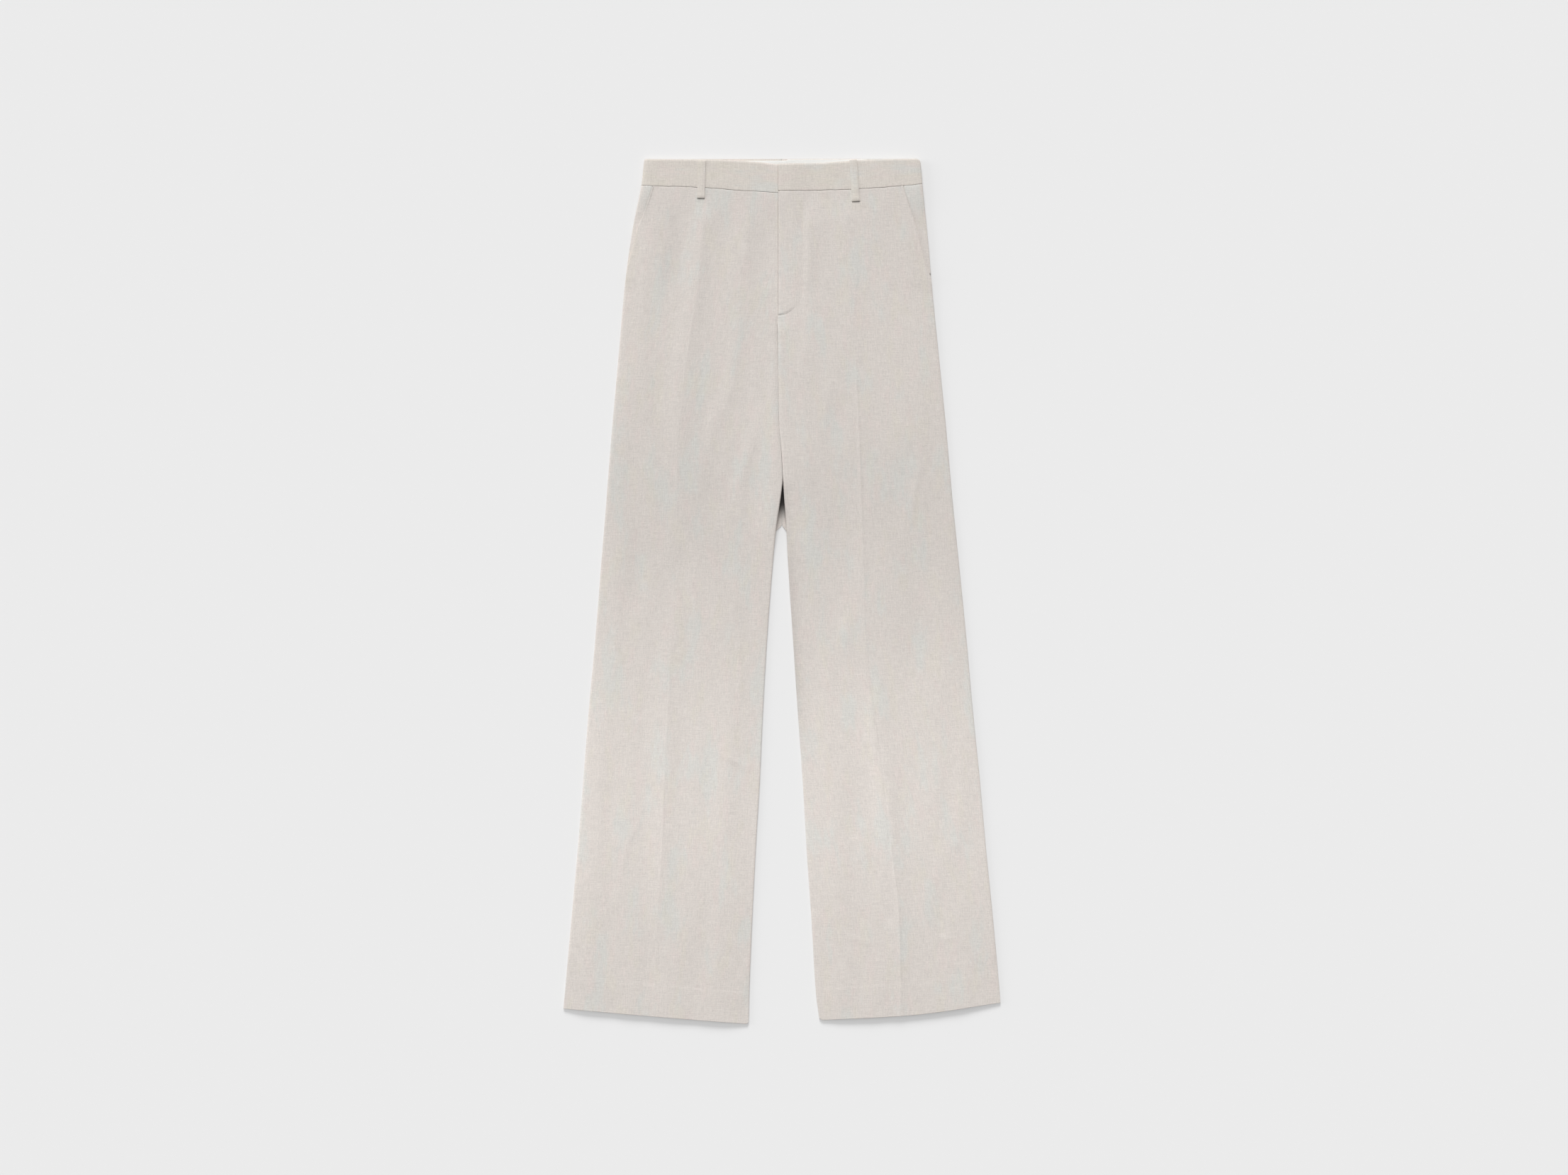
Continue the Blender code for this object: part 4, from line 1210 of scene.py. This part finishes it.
# %% Lining of the back waistband
LINING_STEP = 0.6      # half the width of the step where the two ends meet
columns = np.concatenate([
    evenly(-LINING_HALF_WIDTH, CENTRE_BACK - LINING_STEP, 5.0),
    evenly(CENTRE_BACK + LINING_STEP, LINING_HALF_WIDTH, 5.0),
])
shares = np.array([0.0, 0.1, 0.3, 0.5, 0.7, 0.85, 0.94, 0.98, 1.0])
x = np.broadcast_to(columns, (len(shares), len(columns)))
below_top = LINING_BELOW_TOP["left"] + (LINING_BELOW_TOP["right"] - LINING_BELOW_TOP["left"]) * ramp(
    x, CENTRE_BACK + LINING_STEP, CENTRE_BACK - LINING_STEP
)
y = back_edge(x) - below_top - LINING_DEPTH * (1 - shares[:, None])
z = np.full_like(x, BAND_LIFT + BACK_BAND + 0.2) - 0.25 * bell(x - CENTRE_BACK, 1.2)
lining_points = np.stack([x, y, z], axis=-1)
lining = wall_of_cloth(
    "cotton_lining", lining_points, LINING, np.stack([y, x], axis=-1), LINING_COTTON, below=False
)
print("lining:", len(lining.data.polygons), "faces,", round(area_of(lining_points) * 1e4), "cm2")

# %% [markdown]
# ## Belt loops
#
# A belt loop is a narrow strip with both ends turned under. It follows a path, so Geometry Nodes make it:
# the path is a curve over the waistband, a flat rounded profile runs along it, and the tree's named inputs
# hold the width and the wall. The back loops lie flat under the garment.

# %% Belt loops
LOOP_WALL = 0.45       # thickness of the folded strip
LOOP_TURN = 9.0        # of each end of a front loop, turned under
LOOP_FOLD = 0.27       # radius of the fold
LOOP_AIR = 0.25        # under the middle of a front loop
PAINTED_LOOP_SHADE = 0.02      # painted shade: how much darker than the cloth the loops are painted
LOOP_PLACE, LOOP_SHIFT = 4.0, 0.3   # metres along the bolt of cloth, of the first loop and between two


def geometry_tree(name, inputs):
    """An empty tree with a Geometry input and output and the named inputs."""
    tree = bpy.data.node_groups.new(name, "GeometryNodeTree")
    tree.interface.new_socket("Geometry", in_out="OUTPUT", socket_type="NodeSocketGeometry")
    tree.interface.new_socket("Geometry", in_out="INPUT", socket_type="NodeSocketGeometry")
    for label, kind in inputs:
        tree.interface.new_socket(label, in_out="INPUT", socket_type=kind)
    return tree


def set_mode(node, mode):
    """Sets a node's mode, which some versions of Blender hold in an input and others in a property."""
    if "Mode" in [socket.name for socket in node.inputs]:
        node.inputs["Mode"].default_value = mode.title()
    else:
        node.mode = mode


def strip_tree():
    """A flat strip of cloth along a curve."""
    tree = geometry_tree(
        "strip of cloth",
        (("Width", "NodeSocketFloat"), ("Wall", "NodeSocketFloat"), ("Material", "NodeSocketMaterial")),
    )
    given = add(tree, "NodeGroupInput")
    profile = add(
        tree, "GeometryNodeCurvePrimitiveQuadrilateral",
        inputs={"Width": given.outputs["Width"], "Height": given.outputs["Wall"]},
    )
    corner = maths(tree, "MULTIPLY", given.outputs["Wall"], 0.35)
    rounded = add(
        tree, "GeometryNodeFilletCurve", inputs={"Curve": profile.outputs[0], "Radius": corner}
    )
    set_mode(rounded, "POLY")
    rounded.inputs["Count"].default_value = 3
    strip = add(
        tree, "GeometryNodeCurveToMesh",
        inputs={"Curve": given.outputs["Geometry"], "Profile Curve": rounded.outputs[0], "Fill Caps": True},
    )
    smooth = add(tree, "GeometryNodeSetShadeSmooth", inputs={"Geometry": strip.outputs[0]})
    real = add(tree, "GeometryNodeRealizeInstances", inputs={"Geometry": smooth.outputs[0]})
    finish = add(
        tree, "GeometryNodeSetMaterial",
        inputs={"Geometry": real.outputs[0], "Material": given.outputs["Material"]},
    )
    add(tree, "NodeGroupOutput", inputs={0: finish.outputs[0]})
    return tree


def curve_object(name, points):
    """An open poly curve through points in millimetres."""
    data = bpy.data.curves.new(name, "CURVE")
    data.dimensions = "3D"
    data.twist_mode = "Z_UP"
    spline = data.splines.new("POLY")
    spline.points.add(len(points) - 1)
    spline.points.foreach_set("co", np.concatenate([points * MM, np.ones((len(points), 1))], axis=1).ravel())
    piece = bpy.data.objects.new(name, data)
    bpy.context.collection.objects.link(piece)
    return piece


def made_by(tree, source, values):
    """Runs a tree on an object with these values by name, and returns the result as a plain mesh object."""
    modifier = source.modifiers.new("made", "NODES")
    modifier.node_group = tree
    for item in tree.interface.items_tree:
        if item.in_out == "INPUT" and item.name in values:
            modifier[item.identifier] = values[item.name]
    evaluated = source.evaluated_get(bpy.context.evaluated_depsgraph_get())
    mesh = bpy.data.meshes.new_from_object(evaluated)
    name = source.name
    mesh.name = name
    bpy.data.objects.remove(source)
    piece = bpy.data.objects.new(name, mesh)
    bpy.context.collection.objects.link(piece)
    return piece


def dress_loop(piece, shift):
    """Gives a loop a cloth UV map from above, in metres, and its even painted shade."""
    mesh = piece.data
    layer = mesh.uv_layers.get("cloth") or mesh.uv_layers.new(name="cloth")
    places = np.empty(len(mesh.vertices) * 3)
    mesh.vertices.foreach_get("co", places)
    places = places.reshape(-1, 3)
    corners = np.empty(len(mesh.loops), np.int32)
    mesh.loops.foreach_get("vertex_index", corners)
    uv = places[corners][:, :2] + shift
    layer.data.foreach_set("uv", uv.ravel().astype(np.float32))
    # painted shade, as the fronts have
    shade = mesh.attributes.new("shade", "FLOAT", "POINT")
    shade.data.foreach_set("value", np.full(len(mesh.vertices), PAINTED_LOOP_SHADE, np.float32))


def loop_path(loop):
    """Points along a front loop: the turned lower end, the strip over the waist seam, the turned top."""
    turn = np.linspace(-np.pi / 2, np.pi / 2, 9)
    rest = 0.08 + LOOP_WALL / 2
    round_y, round_z = LOOP_FOLD * np.cos(turn), rest + LOOP_FOLD * (1 + np.sin(turn))
    ends = LOOP_FOLD + LOOP_WALL / 2
    y = [loop.y_low + LOOP_TURN, loop.y_low + 4.0, *(loop.y_low + ends - round_y)]
    y += [*np.linspace(loop.y_low + 4, loop.y_high - 4, 16)]
    y += [*(loop.y_high - ends + round_y)[::-1], loop.y_high - 4.0, loop.y_high - LOOP_TURN]
    middle = rest + LOOP_AIR + (2 * LOOP_FOLD - LOOP_AIR) * np.linspace(-1, 1, 16) ** 4
    z = [rest, rest, *round_z, *middle, *round_z[::-1], rest, rest]
    y, z = np.array(y), np.array(z)
    share = (y - loop.y_low) / (loop.y_high - loop.y_low)
    x = loop.x_low + (loop.x_high - loop.x_low) * share
    seam = waist_seam(loop.leg, x)
    panel, band = front_top(loop.leg, x, np.minimum(y, seam - 4)), band_top(loop.leg, x, y)
    cloth = panel + (band - panel) * ramp(y, seam - 6, seam - 1)
    return np.stack([x, y, cloth + z], axis=1)


def flat_path(loop):
    """Points along a back loop, straight and flat on the table."""
    x, y = np.linspace(loop.x_low, loop.x_high, 12), np.linspace(loop.y_low, loop.y_high, 12)
    return np.stack([x, y, np.full_like(x, LOOP_WALL / 2)], axis=1)


STRIP = strip_tree()
LOOPS = {}
for number, loop in enumerate(FRONT_LOOPS + BACK_LOOPS):
    points = loop_path(loop) if loop in FRONT_LOOPS else flat_path(loop)
    piece = made_by(
        STRIP, curve_object(f"linen_{loop.name}", points),
        {"Width": loop.width * MM, "Wall": LOOP_WALL * MM, "Material": BAND_LINEN},
    )
    dress_loop(piece, LOOP_PLACE + LOOP_SHIFT * number)
    LOOPS[loop.name] = piece
    size = np.array(piece.bound_box)
    print(loop.name, "is", (np.ptp(size, axis=0) / MM).round(1), "mm")

# %% [markdown]
# ## Fly stitching
#
# A single row of stitches holds the facing behind the fly: straight down, then a curve back to the centre
# front. The thread matches the cloth, so the row shows mostly as a shallow groove. The groove is already
# in the front panel. Geometry Nodes lay one short stitch every 2.6 mm along the same line.

# %% Fly stitching
STITCH_PITCH, STITCH_LENGTH, THREAD_RADIUS = 2.6, 1.9, 0.14
TWIST = 0.0004                   # metres from one turn of the thread to the next
WAVE_REPEAT = 2 * math.pi / 20   # a wave texture of scale 1 repeats after this many units


def stitch_tree():
    """Short stitches along a curve, each a thread that dips at both ends."""
    tree = geometry_tree(
        "row of stitches",
        (("Pitch", "NodeSocketFloat"), ("Stitch", "NodeSocketFloat"), ("Thread", "NodeSocketFloat"),
         ("Material", "NodeSocketMaterial")),
    )
    given = add(tree, "NodeGroupInput")
    row = add(tree, "GeometryNodeResampleCurve", inputs={"Curve": given.outputs["Geometry"]})
    set_mode(row, "LENGTH")
    tree.links.new(given.outputs["Pitch"], row.inputs["Length"])
    kept = add(tree, "GeometryNodeCurveToPoints", inputs={"Curve": row.outputs[0]})
    set_mode(kept, "EVALUATED")
    half = maths(tree, "MULTIPLY", given.outputs["Stitch"], 0.5)
    start = add(tree, "ShaderNodeCombineXYZ", inputs={"Z": maths(tree, "MULTIPLY", half, -1.0)})
    end = add(tree, "ShaderNodeCombineXYZ", inputs={"Z": half})
    thread = add(
        tree, "GeometryNodeCurvePrimitiveLine", inputs={"Start": start.outputs[0], "End": end.outputs[0]}
    )
    cut = add(tree, "GeometryNodeResampleCurve", inputs={"Curve": thread.outputs[0], "Count": 6})
    share = add(tree, "GeometryNodeSplineParameter").outputs["Factor"]
    arch = maths(tree, "SINE", maths(tree, "MULTIPLY", share, math.pi))
    thick = add(tree, "ShaderNodeMapRange", inputs={0: arch, 3: 0.35, 4: 1.0})
    swollen = add(
        tree, "GeometryNodeSetCurveRadius", inputs={"Curve": cut.outputs[0], "Radius": thick.outputs[0]}
    )
    circle = add(
        tree, "GeometryNodeCurvePrimitiveCircle", inputs={"Resolution": 8, "Radius": given.outputs["Thread"]}
    )
    stitch = add(
        tree, "GeometryNodeCurveToMesh",
        inputs={"Curve": swollen.outputs[0], "Profile Curve": circle.outputs[0], "Fill Caps": True},
    )
    if "Scale" in [socket.name for socket in stitch.inputs]:
        tree.links.new(thick.outputs[0], stitch.inputs["Scale"])
    placed = add(
        tree, "GeometryNodeInstanceOnPoints",
        inputs={
            "Points": kept.outputs["Points"], "Instance": stitch.outputs[0],
            "Rotation": kept.outputs["Rotation"],
        },
    )
    real = add(tree, "GeometryNodeRealizeInstances", inputs={"Geometry": placed.outputs[0]})
    smooth = add(tree, "GeometryNodeSetShadeSmooth", inputs={"Geometry": real.outputs[0]})
    finish = add(
        tree, "GeometryNodeSetMaterial",
        inputs={"Geometry": smooth.outputs[0], "Material": given.outputs["Material"]},
    )
    add(tree, "NodeGroupOutput", inputs={0: finish.outputs[0]})
    return tree


def thread_material(name, colours):
    """Polyester core-spun thread: smoother than the cloth and twisted, so its sheen runs in fine bands. The
    bands are a painted sheen in its colour, over a bump of the same twist.
    """
    material = empty_material(name)
    tree = material.node_tree
    place = add(tree, "ShaderNodeTexCoord").outputs["Object"]
    twist = add(
        tree, "ShaderNodeTexWave", {"bands_direction": "DIAGONAL"},
        {"Vector": place, "Scale": WAVE_REPEAT / TWIST, "Distortion": 0.5},
    ).outputs["Fac"]
    # painted sheen: the two colours alternate along the twist
    colour = mixed(tree, "MIX", twist, linear(colours[0]), linear(colours[1]))
    bump = add(
        tree, "ShaderNodeBump", inputs={"Strength": 0.4, "Distance": 0.00005, "Height": twist}
    ).outputs[0]
    shader = add(
        tree, "ShaderNodeBsdfPrincipled",
        inputs={"Base Color": colour, "Roughness": 0.6, "Specular IOR Level": 0.4, "Normal": bump},
    )
    add(tree, "ShaderNodeOutputMaterial", inputs={"Surface": shader.outputs[0]})
    return material


# the paler of the two colours is the painted sheen
THREAD = thread_material("sewing thread, polyester", ("#E2DBD4", "#DAD2CA"))


def on_front(leg, path, spacing=1.5, sunk=0.1):
    """The path laid on a front panel, as points a short way apart."""
    corners = np.array(path)
    run = np.concatenate([[0], np.cumsum(np.linalg.norm(np.diff(corners, axis=0), axis=1))])
    at = evenly(0, run[-1], spacing)
    x, y = np.interp(at, run, corners[:, 0]), np.interp(at, run, corners[:, 1])
    return np.stack([x, y, front_top(leg, x, y) + THREAD_RADIUS - sunk], axis=1)


STITCHES = stitch_tree()
fly_stitching = made_by(
    STITCHES, curve_object("fly_stitching", on_front("left", FLY_LINE)),
    {
        "Pitch": STITCH_PITCH * MM, "Stitch": STITCH_LENGTH * MM, "Thread": THREAD_RADIUS * MM,
        "Material": THREAD,
    },
)
print("fly stitching:", len(fly_stitching.data.polygons), "faces")

# %% [markdown]
# ## Table
#
# The garment lies on a matte painted board. The board's material glows a little, painted light that keeps
# the shadows beside the cloth thin and pale.

# %% Table
TABLE_GLOW = 0.2       # painted glow of the board, as a share of white
TABLE_RADIUS = 9.0     # metres, so that no edge shows


def painted_table():
    """Matte painted board: even, with a faint grain of the roller, and a little painted glow."""
    material = empty_material("matte painted table")
    tree = material.node_tree
    place = add(tree, "ShaderNodeTexCoord").outputs["Object"]
    grain = add(
        tree, "ShaderNodeTexNoise", inputs={"Vector": place, "Scale": 900.0, "Detail": 2.0}
    ).outputs["Fac"]
    bump = add(
        tree, "ShaderNodeBump", inputs={"Strength": 0.05, "Distance": 0.0001, "Height": grain}
    ).outputs[0]
    shader = add(
        tree, "ShaderNodeBsdfPrincipled",
        inputs={
            "Base Color": linear("#D5D5D5"), "Roughness": 0.95, "Specular IOR Level": 0.0, "Normal": bump,
            "Emission Color": (1.0, 1.0, 1.0, 1.0), "Emission Strength": TABLE_GLOW,
        },
    )
    add(tree, "ShaderNodeOutputMaterial", inputs={"Surface": shader.outputs[0]})
    return material


def disc(name, radius, segments=96):
    """A flat round plate in the table's plane."""
    angles = np.linspace(0, 2 * np.pi, segments, endpoint=False)
    mesh = bpy.data.meshes.new(name)
    rim = [(radius * math.cos(a), radius * math.sin(a), 0.0) for a in angles]
    faces = [(0, 1 + i, 1 + (i + 1) % segments) for i in range(segments)]
    mesh.from_pydata([(0.0, 0.0, 0.0)] + rim, [], faces)
    piece = bpy.data.objects.new(name, mesh)
    bpy.context.collection.objects.link(piece)
    return piece


table = disc("table", TABLE_RADIUS)
table.data.materials.append(painted_table())
print("the table is", round(table.dimensions.x, 1), "m across")

# %% [markdown]
# ## Light and camera
#
# A flat lay is lit softly. The key sun stands past the waist and a little to the left, so that the hems and
# the belt loops throw a short soft shadow. A weak one from the left models the folds, and one overhead and
# the white sky fill the rest. Suns with a wide disc light the whole table evenly, where an area light would
# fall off across a garment more than a metre long. The camera looks straight down, as in the photograph.

# %% Light and camera
# name, the way it stands in x and y, elevation and width of its disc in degrees, share of white
SUNS = (
    ("key", -0.1, 1.0, 24.0, 22.0, 0.38),
    ("side", -1.0, 0.2, 15.0, 24.0, 0.07),
    ("overhead", 0.0, 0.1, 86.0, 75.0, 0.12),
)
SKY = 0.38                   # strength of the white sky


def sun(name, toward_x, toward_y, elevation, disc_degrees, share):
    """A soft sun. It stands over (toward_x, toward_y) and gives this share of a white table's brightness."""
    up, flat = math.sin(math.radians(elevation)), math.cos(math.radians(elevation))
    lamp = bpy.data.lights.new(name, "SUN")
    lamp.energy = share * math.pi / up
    lamp.angle = math.radians(disc_degrees)
    piece = bpy.data.objects.new(name, lamp)
    reach = math.hypot(toward_x, toward_y)
    from_light = Vector((-toward_x / reach * flat, -toward_y / reach * flat, -up))
    piece.rotation_euler = from_light.to_track_quat("-Z", "Y").to_euler()
    piece.location = -from_light * 3
    bpy.context.collection.objects.link(piece)


for values in SUNS:
    sun(*values)
world = bpy.data.worlds.new("studio")
world.use_nodes = True
world.node_tree.nodes["Background"].inputs["Color"].default_value = (1.0, 1.0, 1.0, 1.0)
world.node_tree.nodes["Background"].inputs["Strength"].default_value = SKY
bpy.context.scene.world = world

PHOTO_WIDTH = 2212           # pixels across the photograph
MM_PER_PIXEL = 0.905
LENS, SENSOR = 85.0, 36.0    # millimetres
AIM = (2.7, 5.2)             # the middle of the photograph on the table, in millimetres
view_width = PHOTO_WIDTH * MM_PER_PIXEL * MM
lens = bpy.data.cameras.new("camera")
lens.lens, lens.sensor_width, lens.sensor_fit = LENS, SENSOR, "HORIZONTAL"
camera = bpy.data.objects.new("camera", lens)
camera.location = (AIM[0] * MM, AIM[1] * MM, view_width * LENS / SENSOR)
bpy.context.collection.objects.link(camera)
bpy.context.scene.camera = camera
print("the camera is", round(camera.location.z, 2), "m up and sees", round(view_width, 3), "m across")

# %% [markdown]
# ## Join the pieces to the frame
#
# Every shell rides on the garment's one body, and the plain solid that it stands for is hidden. Its
# finish is the material on its mesh.


def join(piece, node):
    """Ties a piece to the body and hides the solid that it stands for."""
    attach(piece, "root")
    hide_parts(node)


for leg in LEGS:
    join(BACKS[leg], f"back_{leg}")
    join(FRONTS[leg], f"front_{leg}")
    join(FACINGS[leg], f"pocket_facing_{leg}")
    join(BANDS[f"waistband_back_{leg}"], f"waistband_back_{leg}")
    join(BANDS[f"waistband_front_{leg}"], f"waistband_front_{leg}")
join(lining, "waistband_lining_back")
for loop in FRONT_LOOPS + BACK_LOOPS:
    name, piece = loop.name, LOOPS[loop.name]
    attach(piece, "root")
    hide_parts(name)
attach(fly_stitching, "root")
panels = len(FRONTS) + len(BACKS) + len(FACINGS) + len(BANDS)
print(panels, "panels,", len(LOOPS), "loops, the lining and the fly stitching ride on one body")
